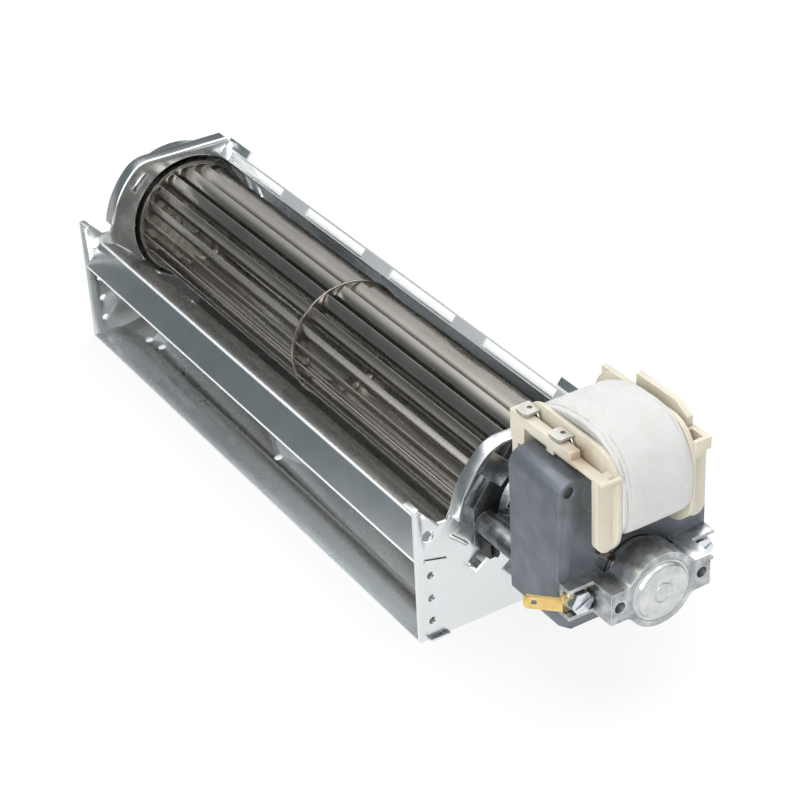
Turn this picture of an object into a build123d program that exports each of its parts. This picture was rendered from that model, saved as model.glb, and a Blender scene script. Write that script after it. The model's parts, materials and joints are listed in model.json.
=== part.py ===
from build123d import *
import os
from math import cos, sin, radians, degrees, hypot, atan2, asin

os.makedirs("parts", exist_ok=True)

# A tangential blower: a long drum impeller in folded sheet, driven by a shaded-pole motor at one end.
# Frame: +X along the impeller to the motor, +Y from the air outlet to the rear, +Z up, millimetres.
# The origin is the middle of the flat floor strip at the outlet, on its underside.

# Housing
SPAN = 243.0            # clear length between the two end plates
PLATE_T = 1.0           # end plate sheet
SHEET_T = 0.8           # scroll and stabiliser sheet
FLOOR_DEPTH = 13.0      # flat outlet floor, front edge to bend
PLATE_FRONT_H = 51.5    # height of the end plates' front edge
AXIS_D = 48.6           # impeller axis, behind the front edge
AXIS_H = 39.0           # impeller axis, above the base
TOP_RISE = 29.7         # the end plates' flat top, above the axis
PLATE_TOP_H = AXIS_H + TOP_RISE
BASE_BEHIND = 17.4      # how far the plates' base reaches behind the axis
PLATE_BASE_D = AXIS_D + BASE_BEHIND
TOP_BEHIND = 17.9       # how far their flat top reaches behind it
PLATE_REAR_D = AXIS_D + TOP_BEHIND
NOTCH_AHEAD = 36.4      # low point between front edge and curved lip, before the axis
NOTCH_RISE = 4.6        # and above it
NOTCH_L = 3.2
BEND_R = 0.9            # outer radius of the lip's fold
WHEEL_HOLE_R = 25.9     # round opening in both end plates
HOLE_ROUND = 0.8        # its rounded edge on the wheel's side
LIP_R = 36.0            # curved front of the plates, about the impeller axis
LIP_W = 5.0             # width of the bent-out lip
SLOT_PLAY = 0.15        # room round a sheet tab in its slot
TAB_OUT = 0.5           # how far a sheet tab stands through the plate
FLOOR_TAB_OUT = 1.6     # the floor strip's tab is longer

# Scroll wall
WALL_DROP = 2.4         # centre of the scroll wall's arc, straight below the axis
WALL_C_D = AXIS_D
WALL_C_H = AXIS_H - WALL_DROP
WALL_R = 29.3           # its inner radius
NOSE_DEG = 60.8         # where the arc ends and the top flange folds back
FLANGE_DEG = 50.0       # slope of the top flange
FLANGE_W = 4.7          # its width
WINDOW_L = 41.5         # rectangular windows along the fold
WINDOW_PITCH = 60.3
WINDOW_MID = -3.4       # middle of the row of windows
WINDOW_RIM = 0.7        # what a window leaves of the flange's outer edge
WINDOW_COUNT = 4

# Stabiliser, the V-section sheet over the outlet
STAB_LOW_H = 31.7       # lower front fold, at the plates' front edge
STAB_TOP_D = 7.5        # upper fold
STAB_TOP_H = 40.3
STAB_MID_D = 13.6
STAB_MID_H = 37.6
LOW_LEG_DEG = -14.0     # slope of the lower leg
LOW_LEG_SHORT = 6.4     # the lower leg, against the tongue's depth
STAB_HOLE_R = 1.6
TONGUE_AHEAD = 22.7     # tongue, nearest to the wheel: before the axis and below it
TONGUE_DROP = 12.8
TONGUE_D = AXIS_D - TONGUE_AHEAD
TONGUE_H = AXIS_H - TONGUE_DROP

# Fixing holes at the front of both end plates
BIG_HOLE_R = 2.3
BIG_HOLE_D = 5.0
BIG_HOLE_H = 40.4
SMALL_HOLE_R = 1.35
SMALL_HOLE_D = 5.3
SMALL_HOLE_H = 16.1     # middle one of the three
SMALL_HOLE_PITCH = 9.0

# Wheel
WHEEL_R = 24.2          # end discs
SUPPORT_R = 23.5        # ring in the middle
BLADE_OUT_R = 22.7
BLADE_IN_R = 18.2
BLADE_T = 0.5
BLADE_COUNT = 20
BLADE_LEAN = 13.0       # degrees between a blade's outer and inner edge
DISC_T = 0.8
RIM_W = 1.2
RIM_T = 1.2
MOTOR_END_GAP = 0.6     # from the motor-side disc to the plane of the plate's inner face
FAR_END_SINK = 0.6      # how far the far disc stands in its plate's opening
BLADE_SLOT = 0.05

# Shaft and bearings
SHAFT_R = 2.5
RUN_FIT = 0.03          # radial running clearance
HUB_R = 8.0
HUB_L = 11.0

# Far bearing cup
CUP_R = 27.6
CUP_DEPTH = 16.0
CUP_T = 0.8
CUP_FLANGE_R = 28.5
BUSH_R = 9.0
BEARING_R = 6.2
BEARING_L = 8.0

# Motor-side bracket, its base clamped on the end plate
BASE_HALF_W = 28.0      # middle to the base's side flats
BASE_HALF_H = 28.0      # middle to its top and bottom flats
BASE_SLANT_R = 26.4     # middle to the slanted flats that the lugs clamp
BASE_SLANT_DEG = 38.0
BASE_T = 2.6

# Motor, distances along the axis are from the outer face of the motor-side plate
STACK_X0 = 23.0         # rear face of the lamination stack
STACK_L = 25.5
CORE_HALF_W = 27.8
CORE_TOP = 40.4         # above the axis
CORE_BOTTOM = 13.6      # below the axis
WINDOW_HALF = 14.6
WINDOW_BOTTOM = 13.4
BORE_R = 11.35
ROTOR_R = 11.0
BAR_MID = 32.3          # height of the coil bar above the axis
BAR_H = 13.0
BAR_END = 12.6          # centre of its round end
CORE_FIT = 0.05
COIL_HALF_W = 12.9
FLANGE_T = 1.5
LEDGE_Y = 20.0          # outer face of the terminal block, from the axis
LEDGE_TOP = 47.0        # its top, above the axis
TAB_W = 6.3
TAB_T = 0.8
TAB_UP = 1.0            # terminal tabs stand above the block
TAB_X = (15.1, 32.5)    # start of each terminal tab along the axis
SCREW_Y = 23.3          # the two motor screws beside the axis
SCREW_R = 1.75
SCREW_HOLE_R = 1.95
RIVET_R = 1.9           # rivets through the stack, sunk below both faces
RIVET_Y = 23.7
RIVET_Z = 36.9
RIVET_SINK = 0.5

# Front bearing bracket
BRACKET_FRONT = 63.0
BOSS_R = 12.9
ARM_HALF_H = 5.6
ARM_HALF_W = 18.8
ARM_HOLE_Y = 15.5
ARM_HOLE_R = 2.0
CAP_R = 10.7
CAP_RAISED_R = 9.0
CAP_STAND = 1.3         # how far its middle stands out

HALF = SPAN / 2 + PLATE_T               # outer faces of both plates, from the middle
STACK_X1 = STACK_X0 + STACK_L
FRONT_Y = -FLOOR_DEPTH / 2              # front edge in the part's frame
AXIS_Y = AXIS_D + FRONT_Y


def pt(depth, height):
    """A section point, given behind the front edge and above the base."""
    return (depth + FRONT_Y, height)


def about(radius, angle):
    """A section point at a radius and angle about the impeller axis."""
    return pt(AXIS_D + radius * cos(radians(angle)), AXIS_H + radius * sin(radians(angle)))


def section(x):
    """Section plane at a place along the impeller, local x to the rear, local y up."""
    return Plane(origin=(x, 0, 0), x_dir=(0, 1, 0), z_dir=(1, 0, 0))


def slab(face, x0, x1):
    """Extrude a section face from x0 to x1."""
    return extrude(section(x0) * face, amount=x1 - x0)


def rod(x0, x1, radius, dy=0.0, dz=0.0, inner=0.0):
    """A bar or tube along X, placed from the impeller axis."""
    ring = Circle(radius)
    if inner > 0:
        ring = ring - Circle(inner)
    return slab(Pos(AXIS_Y + dy, AXIS_H + dz) * ring, x0, x1)


def block(x0, x1, y0, y1, z0, z1):
    """A box between two places on each axis, y and z from the impeller axis."""
    face = Pos(AXIS_Y + (y0 + y1) / 2, AXIS_H + (z0 + z1) / 2) * Rectangle(abs(y1 - y0), abs(z1 - z0))
    return slab(face, x0, x1)


def sheet_face(path, thickness, side):
    """Closed section of a folded sheet from one of its surfaces."""
    wire = Wire(path)
    closed = wire.offset_2d(thickness, kind=Kind.INTERSECTION, side=side, closed=True)
    return make_face(closed.edges())


def turned_rect(centre, width, height, angle):
    return Pos(*centre) * Rot(0, 0, angle) * Rectangle(width, height)


def save(shape, name):
    export_step(shape, "parts/" + name + ".step")


# Scroll: floor strip, bend, curved back wall and folded top flange
def wall_point(angle, radius):
    return pt(WALL_C_D + radius * cos(radians(angle)), WALL_C_H + radius * sin(radians(angle)))


bend = (FLOOR_DEPTH, SHEET_T)
to_centre = (WALL_C_D - bend[0], WALL_C_H - bend[1])
centre_dist = hypot(*to_centre)
rise = degrees(atan2(to_centre[1], to_centre[0]) - asin(WALL_R / centre_dist))
nose = wall_point(NOSE_DEG, WALL_R)
flange_end = (nose[0] + FLANGE_W * cos(radians(FLANGE_DEG)), nose[1] + FLANGE_W * sin(radians(FLANGE_DEG)))
scroll_path = [
    Line(pt(0, SHEET_T), pt(*bend)),
    Line(pt(*bend), wall_point(rise - 90, WALL_R)),
    ThreePointArc(wall_point(rise - 90, WALL_R), wall_point(0, WALL_R), nose),
    Line(nose, flange_end),
]
scroll_face = sheet_face(scroll_path, SHEET_T, Side.RIGHT)

# Sheet tabs: middle of the tab in the section, its angle and its length
FLOOR_TAB = (pt(7.2, SHEET_T / 2), 0.0, 7.5)
REAR_TABS = [(wall_point(a, WALL_R + SHEET_T / 2), a + 90, 8.0) for a in (-75, -2)]


def along(start, angle, distance):
    return (start[0] + distance * cos(radians(angle)), start[1] + distance * sin(radians(angle)))


# Stabiliser: lower leg, slanted front strip, top leg down to the tongue
stab_top = pt(STAB_TOP_D, STAB_TOP_H)
stab_mid = pt(STAB_MID_D, STAB_MID_H)
tongue = pt(TONGUE_D, TONGUE_H)
stab_low = pt(0, STAB_LOW_H)
low_leg_end = along(stab_low, LOW_LEG_DEG, TONGUE_D - LOW_LEG_SHORT)
stab_path = [
    Line(low_leg_end, stab_low),
    Line(stab_low, stab_top),
    Line(stab_top, stab_mid),
    Line(stab_mid, tongue),
]
stab_face = sheet_face(stab_path, SHEET_T, Side.RIGHT)
top_leg_deg = degrees(atan2(tongue[1] - stab_mid[1], tongue[0] - stab_mid[0]))
low_mid = along(along(stab_low, LOW_LEG_DEG, 7.4), LOW_LEG_DEG + 90, SHEET_T / 2)
top_mid = along(along(stab_mid, top_leg_deg, 4.5), top_leg_deg - 90, SHEET_T / 2)
LOW_TAB = (low_mid, LOW_LEG_DEG, 8.4)
TOP_TAB = (top_mid, top_leg_deg, 8.2)


def tab_solids(face, tab, stand_out=TAB_OUT):
    """Both end tabs of a sheet: its own section, cut to the tab's length, run through the plates."""
    piece = face & turned_rect(tab[0], tab[2], 4.0, tab[1])
    reach = HALF + stand_out
    return slab(piece, SPAN / 2 - 0.5, reach) + slab(piece, -reach, -SPAN / 2 + 0.5)


def window_cutter(x_mid):
    """Crosses the nose fold: a little of the wall and most of the flange."""
    low = along(nose, NOSE_DEG + 90, -1.3)
    high = along(nose, FLANGE_DEG, FLANGE_W - WINDOW_RIM)
    corners = [
        along(low, NOSE_DEG, -2.5),
        along(low, NOSE_DEG, 2.5),
        along(high, FLANGE_DEG - 90, 2.5),
        along(high, FLANGE_DEG + 90, 2.5),
    ]
    face = make_face(Polyline(corners, close=True))
    return slab(face, x_mid - WINDOW_L / 2, x_mid + WINDOW_L / 2)


scroll = slab(scroll_face, -SPAN / 2, SPAN / 2)
for i in range(WINDOW_COUNT):
    scroll -= window_cutter(WINDOW_MID + (i - (WINDOW_COUNT - 1) / 2) * WINDOW_PITCH)
scroll += tab_solids(scroll_face, FLOOR_TAB, FLOOR_TAB_OUT)
for tab in REAR_TABS:
    scroll += tab_solids(scroll_face, tab)
for hole_x, hole_d, hole_r in ((1.5, 15.6, 1.5), (-104.0, 15.6, 1.6), (-95.4, 16.9, 1.6)):
    scroll -= Pos(hole_x, hole_d + FRONT_Y, 1.2) * Cylinder(hole_r, 6.0)
# tall oval hole in the back wall, near the far plate
OVAL_X = -117.0
OVAL_L = 5.4
OVAL_W = 3.2
oval = extrude(Plane.XZ * SlotOverall(OVAL_L, OVAL_W, rotation=90), amount=5.0, both=True)
scroll -= Pos(OVAL_X, WALL_C_D + FRONT_Y + WALL_R, WALL_C_H + 6.3) * oval
save(scroll, "scroll_sheet")

stabiliser = slab(stab_face, -SPAN / 2, SPAN / 2)
for tab in (LOW_TAB, TOP_TAB):
    stabiliser += tab_solids(stab_face, tab)
for hole_x in (-106.8, -77.6):
    spot = along(tongue, top_leg_deg, -STAB_HOLE_R - 1.2)
    stabiliser -= Pos(hole_x, spot[0], spot[1]) * Rot(top_leg_deg, 0, 0) * Cylinder(STAB_HOLE_R, 6.0)
save(stabiliser, "stabiliser_sheet")


# End plates: one outline, the lip bent out along its curved front and flat top
LIP_START_DEG = 169.5
lip_start = about(LIP_R, LIP_START_DEG)
rear_top = pt(PLATE_REAR_D, PLATE_TOP_H)
notch_rear = pt(AXIS_D - NOTCH_AHEAD, AXIS_H + NOTCH_RISE)
notch_front = (notch_rear[0] - NOTCH_L, notch_rear[1] + 0.2)


def plate_outline():
    top_y = PLATE_TOP_H - AXIS_H
    arc_end_deg = 180 - degrees(asin(top_y / LIP_R))
    rear_r = WALL_R + SHEET_T + 2.4
    ear_corner = along(flange_end, FLANGE_DEG, 1.2)
    ear_corner = along(ear_corner, FLANGE_DEG - 90, 3.4)
    edges = [
        Line(pt(0, 0), pt(0, PLATE_FRONT_H)),
        Line(pt(0, PLATE_FRONT_H), pt(1.6, PLATE_FRONT_H)),
        Line(pt(1.6, PLATE_FRONT_H), notch_front),
        Line(notch_front, notch_rear),
        Line(notch_rear, lip_start),
        ThreePointArc(lip_start, about(LIP_R, (LIP_START_DEG + arc_end_deg) / 2), about(LIP_R, arc_end_deg)),
        Line(about(LIP_R, arc_end_deg), rear_top),
        Line(rear_top, ear_corner),
        Line(ear_corner, wall_point(45, rear_r)),
        ThreePointArc(wall_point(45, rear_r), wall_point(0, rear_r), wall_point(-45, rear_r)),
        Line(wall_point(-45, rear_r), pt(PLATE_BASE_D, 0)),
        Line(pt(PLATE_BASE_D, 0), pt(0, 0)),
    ]
    face = make_face(edges)
    corner = face.vertices().sort_by_distance(Vector(*about(LIP_R, arc_end_deg), 0))[0]
    face = fillet(corner, 12.0)
    foot = face.vertices().sort_by_distance(Vector(*pt(PLATE_BASE_D, 0), 0))[0]
    return fillet(foot, 4.0)


OUTLINE = plate_outline()
INNER_OUTLINE = offset(OUTLINE, amount=-PLATE_T)
LUG_ANGLES = (135.0, 218.0, 322.0)
LUG_R0 = 29.2           # lanced window, inner and outer edge from the axis
LUG_R1 = 32.5
LUG_L = 9.0
EAR_W = 4.2             # ear behind the scroll's top flange
EAR_L = 16.0


def end_plate(side, clamped, reach):
    """side is +1 at the motor and -1 at the far end; its lugs clamp that thickness, in to that radius."""
    inner = SPAN / 2
    outer = HALF
    zone_x0 = lip_start[0] - 2.0
    zone_x1 = rear_top[0]
    zone_h = 2 * LIP_R
    lip_zone = Pos((zone_x0 + zone_x1) / 2, lip_start[1] + zone_h / 2) * Rectangle(zone_x1 - zone_x0, zone_h)
    lip_face = (OUTLINE - INNER_OUTLINE) & lip_zone
    plate = slab(OUTLINE, inner, outer) + slab(lip_face, inner, outer + LIP_W)
    fold = []
    for edge in plate.edges():
        spot = edge @ 0.5
        on_arc = abs(hypot(spot.Y - AXIS_Y, spot.Z - AXIS_H) - LIP_R) < 2.5
        on_top = abs(spot.Z - PLATE_TOP_H) < 0.01
        if abs(spot.X - inner) < 0.01 and spot.Z > lip_start[1] and spot.Y < rear_top[0] and (on_arc or on_top):
            fold.append(edge)
    plate = fillet(fold, BEND_R)
    plate -= rod(inner - 1, outer + 1, WHEEL_HOLE_R)
    rim = [e for e in plate.edges().filter_by(GeomType.CIRCLE) if abs(e.radius - WHEEL_HOLE_R) < 0.01]
    plate = fillet([e for e in rim if abs(e.center().X - inner) < 0.01], HOLE_ROUND)
    plate -= slab(Pos(*pt(BIG_HOLE_D, BIG_HOLE_H)) * Circle(BIG_HOLE_R), inner - 1, outer + 1)
    for step in (-1, 0, 1):
        centre = pt(SMALL_HOLE_D, SMALL_HOLE_H + step * SMALL_HOLE_PITCH)
        plate -= slab(Pos(*centre) * Circle(SMALL_HOLE_R), inner - 1, outer + 1)
    for tab in [FLOOR_TAB, LOW_TAB, TOP_TAB] + REAR_TABS:
        slot = turned_rect(tab[0], tab[2] + 2 * SLOT_PLAY, SHEET_T + 2 * SLOT_PLAY + 0.3, tab[1])
        plate -= slab(slot, inner - 1, outer + 1)
    # folded ear at the front corner, and the narrow lip down the slope behind it
    plate += slab(Pos(*pt(1.1, PLATE_FRONT_H - 0.5)) * Rectangle(2.2, 1.0), inner - 5.0, inner + 0.5)
    slope_top = pt(1.6, PLATE_FRONT_H)
    slope = degrees(atan2(notch_front[1] - slope_top[1], notch_front[0] - slope_top[0]))
    slope_mid = along(slope_top, slope, 6.0)
    slope_mid = along(slope_mid, slope - 90, PLATE_T / 2)
    plate += slab(turned_rect(slope_mid, 7.0, PLATE_T, slope), outer - 0.5, outer + 1.9)
    # long ear folded in behind the edge of the scroll's top flange
    ear_mid = along(flange_end, FLANGE_DEG, EAR_W / 2 - WINDOW_RIM)
    ear_mid = along(ear_mid, FLANGE_DEG - 90, SHEET_T + SLOT_PLAY + PLATE_T / 2)
    ear = slab(turned_rect(ear_mid, EAR_W, PLATE_T, FLANGE_DEG), inner - EAR_L, inner + 0.5)
    plate += ear
    # lugs lanced out of the plate and folded in over whatever covers the round opening
    for angle in LUG_ANGLES:
        window = turned_rect(about((LUG_R0 + LUG_R1) / 2, angle), LUG_R1 - LUG_R0, LUG_L, angle)
        plate -= slab(window, inner - 1, outer + 1)
        width = LUG_L - 0.8
        foot = turned_rect(about(LUG_R1 - PLATE_T / 2 + 0.3, angle), PLATE_T, width, angle)
        plate += slab(foot, inner, outer + clamped + PLATE_T)
        finger = turned_rect(about((reach + LUG_R1) / 2, angle), LUG_R1 - reach, width, angle)
        plate += slab(finger, outer + clamped, outer + clamped + PLATE_T)
    if side < 0:
        plate = mirror(plate, about=Plane.YZ)
    return plate


BASE_LUG_R = 21.5       # how far in the lugs reach over the bracket's base
save(end_plate(1, BASE_T, BASE_LUG_R), "motor_end_plate")
save(end_plate(-1, CUP_T, CUP_R + 0.2), "far_end_plate")


# Wheel: curved blades through slotted discs
def blade_face(grow=0.0):
    outer = (BLADE_OUT_R + grow, 0.0)
    mid_r = (BLADE_OUT_R + BLADE_IN_R) / 2 + 0.35
    mid = (mid_r * cos(radians(BLADE_LEAN * 0.72)), mid_r * sin(radians(BLADE_LEAN * 0.72)))
    inner_r = BLADE_IN_R - grow
    inner = (inner_r * cos(radians(BLADE_LEAN)), inner_r * sin(radians(BLADE_LEAN)))
    middle_line = Wire([ThreePointArc(outer, mid, inner)])
    half = BLADE_T / 2 + grow
    one = middle_line.offset_2d(half, side=Side.LEFT, closed=True)
    other = middle_line.offset_2d(half, side=Side.RIGHT, closed=True)
    return make_face(one.edges()) + make_face(other.edges())


def blade_ring(face, x0, x1):
    blades = []
    for i in range(BLADE_COUNT):
        turned = Pos(AXIS_Y, AXIS_H) * Rot(0, 0, i * 360 / BLADE_COUNT) * face
        blades.append(slab(turned, x0, x1))
    return blades


WHEEL_END = SPAN / 2 - MOTOR_END_GAP
FAR_END = SPAN / 2 + FAR_END_SINK
blades = blade_ring(blade_face(), -FAR_END, WHEEL_END)
save(Compound(children=blades), "impeller_blades")
slot_face = blade_face(BLADE_SLOT)


def slotted(disc, x0, x1):
    for cutter in blade_ring(slot_face, x0 - 1, x1 + 1):
        disc -= cutter
    return disc


def end_disc(outer, inward, centre_hole):
    """Flat disc with its outer face at a place, and a short rim turned inward round the blades' ends."""
    inner = outer + inward * DISC_T
    rim = outer + inward * (DISC_T + RIM_W)
    disc = slotted(rod(inner, outer, WHEEL_R), inner, outer)
    disc += rod(rim, outer, WHEEL_R, inner=WHEEL_R - RIM_T)
    disc -= rod(-HALF, HALF, centre_hole)
    return disc


save(end_disc(WHEEL_END, -1, HUB_R - 2.0), "motor_end_disc")
save(end_disc(-FAR_END, 1, SHAFT_R), "far_end_disc")
ring = slotted(rod(-DISC_T / 2, DISC_T / 2, SUPPORT_R, inner=BLADE_IN_R - 1.6), -DISC_T / 2, DISC_T / 2)
save(ring, "support_ring")

hub = rod(WHEEL_END - HUB_L, WHEEL_END - DISC_T, HUB_R, inner=SHAFT_R)
hub += rod(WHEEL_END - DISC_T, WHEEL_END + 0.4, HUB_R - 2.0, inner=SHAFT_R)
save(hub, "coupling_hub")

# Far end: riveted stub axle, sintered bearing in a rubber bush, all in a pressed cup
CUP_BACK = HALF + CUP_DEPTH
stub = rod(-CUP_BACK + 3.0, -FAR_END + 4.0, SHAFT_R)
stub += rod(-FAR_END + DISC_T, -FAR_END + DISC_T + 2.2, 6.0)
save(stub, "far_stub_axle")

BUSH_X1 = -CUP_BACK + CUP_T + 9.5
far_bearing = rod(BUSH_X1 - 0.6 - BEARING_L, BUSH_X1 - 0.6, BEARING_R, inner=SHAFT_R + RUN_FIT)
far_bearing = fillet(far_bearing.edges().filter_by(GeomType.CIRCLE).sort_by(SortBy.RADIUS)[-2:], 1.6)
save(far_bearing, "far_bearing")
bush = rod(-CUP_BACK + CUP_T, BUSH_X1, BUSH_R, inner=BEARING_R)
save(bush, "far_rubber_bush")


def revolve_profile(points, x_face, direction):
    """Turn a closed profile of (outwards, radius) pairs about the impeller axis."""
    corners = [Vector(x_face + direction * a, AXIS_Y, AXIS_H + r) for a, r in points]
    face = make_face(Polyline(corners, close=True))
    return revolve(face, axis=Axis((0, AXIS_Y, AXIS_H), (1, 0, 0)), revolution_arc=360)


depth = CUP_DEPTH
cup_points = [
    (0, CUP_FLANGE_R), (CUP_T, CUP_FLANGE_R), (CUP_T, CUP_R), (depth - 3.5, CUP_R), (depth - 1.0, CUP_R - 1.2),
    (depth, CUP_R - 4.0), (depth, 0), (depth - CUP_T, 0), (depth - CUP_T, BUSH_R),
    (depth - 8.5, BUSH_R), (depth - 8.5, BUSH_R + CUP_T), (depth - CUP_T, BUSH_R + CUP_T),
    (depth - CUP_T, CUP_R - 4.3), (depth - 1.6, CUP_R - 1.8), (depth - 3.7, CUP_R - CUP_T), (0, CUP_R - CUP_T),
]
save(revolve_profile(cup_points, -HALF, -1), "far_bearing_cup")


# Motor-side bracket: polygon base over the plate's opening, cone to the bearing, two posts to the stack
def motor(x):
    """Distance along the axis from the motor-side plate to a place in the part's frame."""
    return HALF + x


base = Rectangle(2 * BASE_HALF_W, 2 * BASE_HALF_H)
for slant in (BASE_SLANT_DEG, 180 - BASE_SLANT_DEG, 180 + BASE_SLANT_DEG, -BASE_SLANT_DEG):
    off = along((0, 0), slant, BASE_SLANT_R + BASE_HALF_W)
    base -= turned_rect(off, 2 * BASE_HALF_W, 4 * BASE_HALF_W, slant)
base = Pos(AXIS_Y, AXIS_H) * base
rear_bracket = slab(base, motor(0), motor(BASE_T))
CONE_X1 = 17.5
CONE_R0 = 19.0
CONE_R1 = 9.6
cone_points = [
    (BASE_T - 0.4, CONE_R0), (CONE_X1 - 1.0, CONE_R1 + 0.6), (CONE_X1, CONE_R1 - 0.4), (CONE_X1, 0),
    (BASE_T - 0.4, 0),
]
rear_bracket += revolve_profile(cone_points, HALF, 1)
hollow = [(-0.5, CONE_R0 - 2.4), (BASE_T, CONE_R0 - 2.4), (7.5, 13.6), (7.5, 0), (-0.5, 0)]
rear_bracket -= revolve_profile(hollow, HALF, 1)
for side in (-1, 1):
    rear_bracket += rod(motor(0.0), motor(STACK_X0), 4.2, dy=side * SCREW_Y)
    rear_bracket += block(motor(BASE_T - 0.5), motor(13.0), side * 8.0, side * 23.0,
                          -1.6, 1.6)
    rear_bracket -= rod(motor(6.0), motor(STACK_X0 + 1), SCREW_HOLE_R, dy=side * SCREW_Y)
for dz0, dz1 in ((8.0, 24.0), (-24.0, -8.0)):
    rear_bracket += block(motor(BASE_T - 0.5), motor(9.0), -1.6, 1.6, dz0, dz1)
rear_bracket -= revolve_profile(hollow, HALF, 1)
# windows through the cone between its four ribs
for turn in (45, 135, 225, 315):
    wedge = make_face(Polyline(
        along((0, 0), turn - 27, 10.8),
        along((0, 0), turn - 30, CONE_R0 - 1.6),
        along((0, 0), turn, CONE_R0 - 0.4),
        along((0, 0), turn + 30, CONE_R0 - 1.6),
        along((0, 0), turn + 27, 10.8),
        close=True,
    ))
    rear_bracket -= slab(Pos(AXIS_Y, AXIS_H) * wedge, motor(BASE_T + 0.6), motor(CONE_X1 + 1))
REAR_BEARING_X0 = 8.6
rear_bracket -= rod(motor(REAR_BEARING_X0), motor(REAR_BEARING_X0 + BEARING_L), BEARING_R)
rear_bracket -= rod(motor(7.0), motor(STACK_X0), 3.4)
save(rear_bracket, "rear_bracket")

rear_bearing = rod(motor(REAR_BEARING_X0), motor(REAR_BEARING_X0 + BEARING_L), BEARING_R, inner=SHAFT_R + RUN_FIT)
save(rear_bearing, "rear_bearing")


clip = block(motor(BASE_T), motor(7.6), -25.6, -21.6, -10.7, -4.7)
clip -= block(motor(4.2), motor(8.0), -24.6, -22.6, -9.7, -5.7)
clip += block(motor(BASE_T), motor(9.4), -24.0, -23.2, -9.7, -5.7)
save(clip, "wire_clip")

# Stator: laminated core with round sockets, and the coil bar that closes it
STACK = (motor(STACK_X0), motor(STACK_X1))
core_edges = [
    Line((-CORE_HALF_W, -10.4), (-CORE_HALF_W, CORE_TOP - 4.6)),
    ThreePointArc((-CORE_HALF_W, CORE_TOP - 4.6), (-CORE_HALF_W + 2.0, CORE_TOP - 1.1), (-CORE_HALF_W + 6.0, CORE_TOP)),
    Line((-CORE_HALF_W + 6.0, CORE_TOP), (CORE_HALF_W - 6.0, CORE_TOP)),
    ThreePointArc((CORE_HALF_W - 6.0, CORE_TOP), (CORE_HALF_W - 2.0, CORE_TOP - 1.1), (CORE_HALF_W, CORE_TOP - 4.6)),
    Line((CORE_HALF_W, CORE_TOP - 4.6), (CORE_HALF_W, -10.4)),
    Line((CORE_HALF_W, -10.4), (CORE_HALF_W - 4.4, -CORE_BOTTOM)),
    Line((CORE_HALF_W - 4.4, -CORE_BOTTOM), (-CORE_HALF_W + 4.4, -CORE_BOTTOM)),
    Line((-CORE_HALF_W + 4.4, -CORE_BOTTOM), (-CORE_HALF_W, -10.4)),
]
core_face = make_face(core_edges)
window_h = CORE_TOP - WINDOW_BOTTOM + 2
core_face -= Pos(0, WINDOW_BOTTOM + window_h / 2) * Rectangle(2 * WINDOW_HALF, window_h)
core_face -= Circle(BORE_R)
bar_face = Pos(0, BAR_MID) * Rectangle(2 * BAR_END, BAR_H)
for side in (-1, 1):
    bar_face += Pos(side * BAR_END, BAR_MID) * Circle(BAR_H / 2)
    core_face -= Pos(side * BAR_END, BAR_MID) * Circle(BAR_H / 2 + CORE_FIT)
    core_face -= Pos(side * SCREW_Y, 0) * Circle(SCREW_HOLE_R)
    core_face -= Pos(side * RIVET_Y, RIVET_Z) * Circle(RIVET_R)
SHADE_IN = 12.8
SHADE_OUT = 16.8
SHADE_TURNS = (138, 318)
for turn in SHADE_TURNS:
    for reach in (SHADE_IN, SHADE_OUT):
        spot = (reach * cos(radians(turn)), reach * sin(radians(turn)))
        core_face -= turned_rect(spot, 2.2, 2.2, turn)
core = slab(Pos(AXIS_Y, AXIS_H) * core_face, *STACK)
save(core, "stator_core")
save(slab(Pos(AXIS_Y, AXIS_H) * bar_face, *STACK), "coil_bar")

rivets = []
for side in (-1, 1):
    rivets.append(rod(STACK[0] + RIVET_SINK, STACK[1] - RIVET_SINK, RIVET_R, dy=side * RIVET_Y, dz=RIVET_Z))
save(Compound(children=rivets), "core_rivets")

shades = []
for turn in SHADE_TURNS:
    mid = (SHADE_IN + SHADE_OUT) / 2
    width = SHADE_OUT - SHADE_IN + 2.0
    outer = slab(turned_rect((mid, 0), width, 2.0, 0), STACK[0] - 2.0, STACK[1] + 2.0)
    outer -= slab(turned_rect((mid, 0), width - 4.0, 3.0, 0), *STACK)
    shades.append(Pos(0, AXIS_Y, AXIS_H) * Rot(turn, 0, 0) * outer)
save(Compound(children=shades), "shading_rings")

# Bobbin: tube round the coil bar, two flanges, terminal block and shelf on one side, bar and box on the other
TUBE_GAP = 0.2
TUBE_T = 1.0
MID_X = (STACK_X0 + STACK_X1) / 2
FLANGE_X0 = 11.3
FLANGE_X1 = 2 * MID_X - FLANGE_X0
FLANGE_LOW = 14.2
FLANGE_CORNER = 11.5
FLANGE_Y = COIL_HALF_W + FLANGE_T
TROUGH_Y = LEDGE_Y - 1.8        # how far out the troughs' floor reaches
TROUGH_LOW = CORE_TOP + 0.6     # its underside, just over the stack
TROUGH_FLOOR = TROUGH_LOW + 1.6
BLOCK_IN_Y = LEDGE_Y - 3.6
BLOCK_LOW = 43.6
BLOCK_END = 44.2
SHELF_LOW = 43.4
SHELF_TOP = 44.4
LEG_LOW = 18.0
LEG_T = 3.0
LEG_X = (13.7, 54.8)


def flange_plate(y_in, y_out, top):
    """Rounded plate across the coil's end."""
    wide = FLANGE_X1 - FLANGE_X0
    tall = top - FLANGE_LOW
    face = Pos(motor(MID_X), AXIS_H + FLANGE_LOW + tall / 2) * RectangleRounded(wide, tall, FLANGE_CORNER)
    plane = Plane(origin=(0, AXIS_Y + y_in, 0), x_dir=(1, 0, 0), z_dir=(0, -1, 0))
    return extrude(plane * face, amount=-(y_out - y_in))


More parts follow.
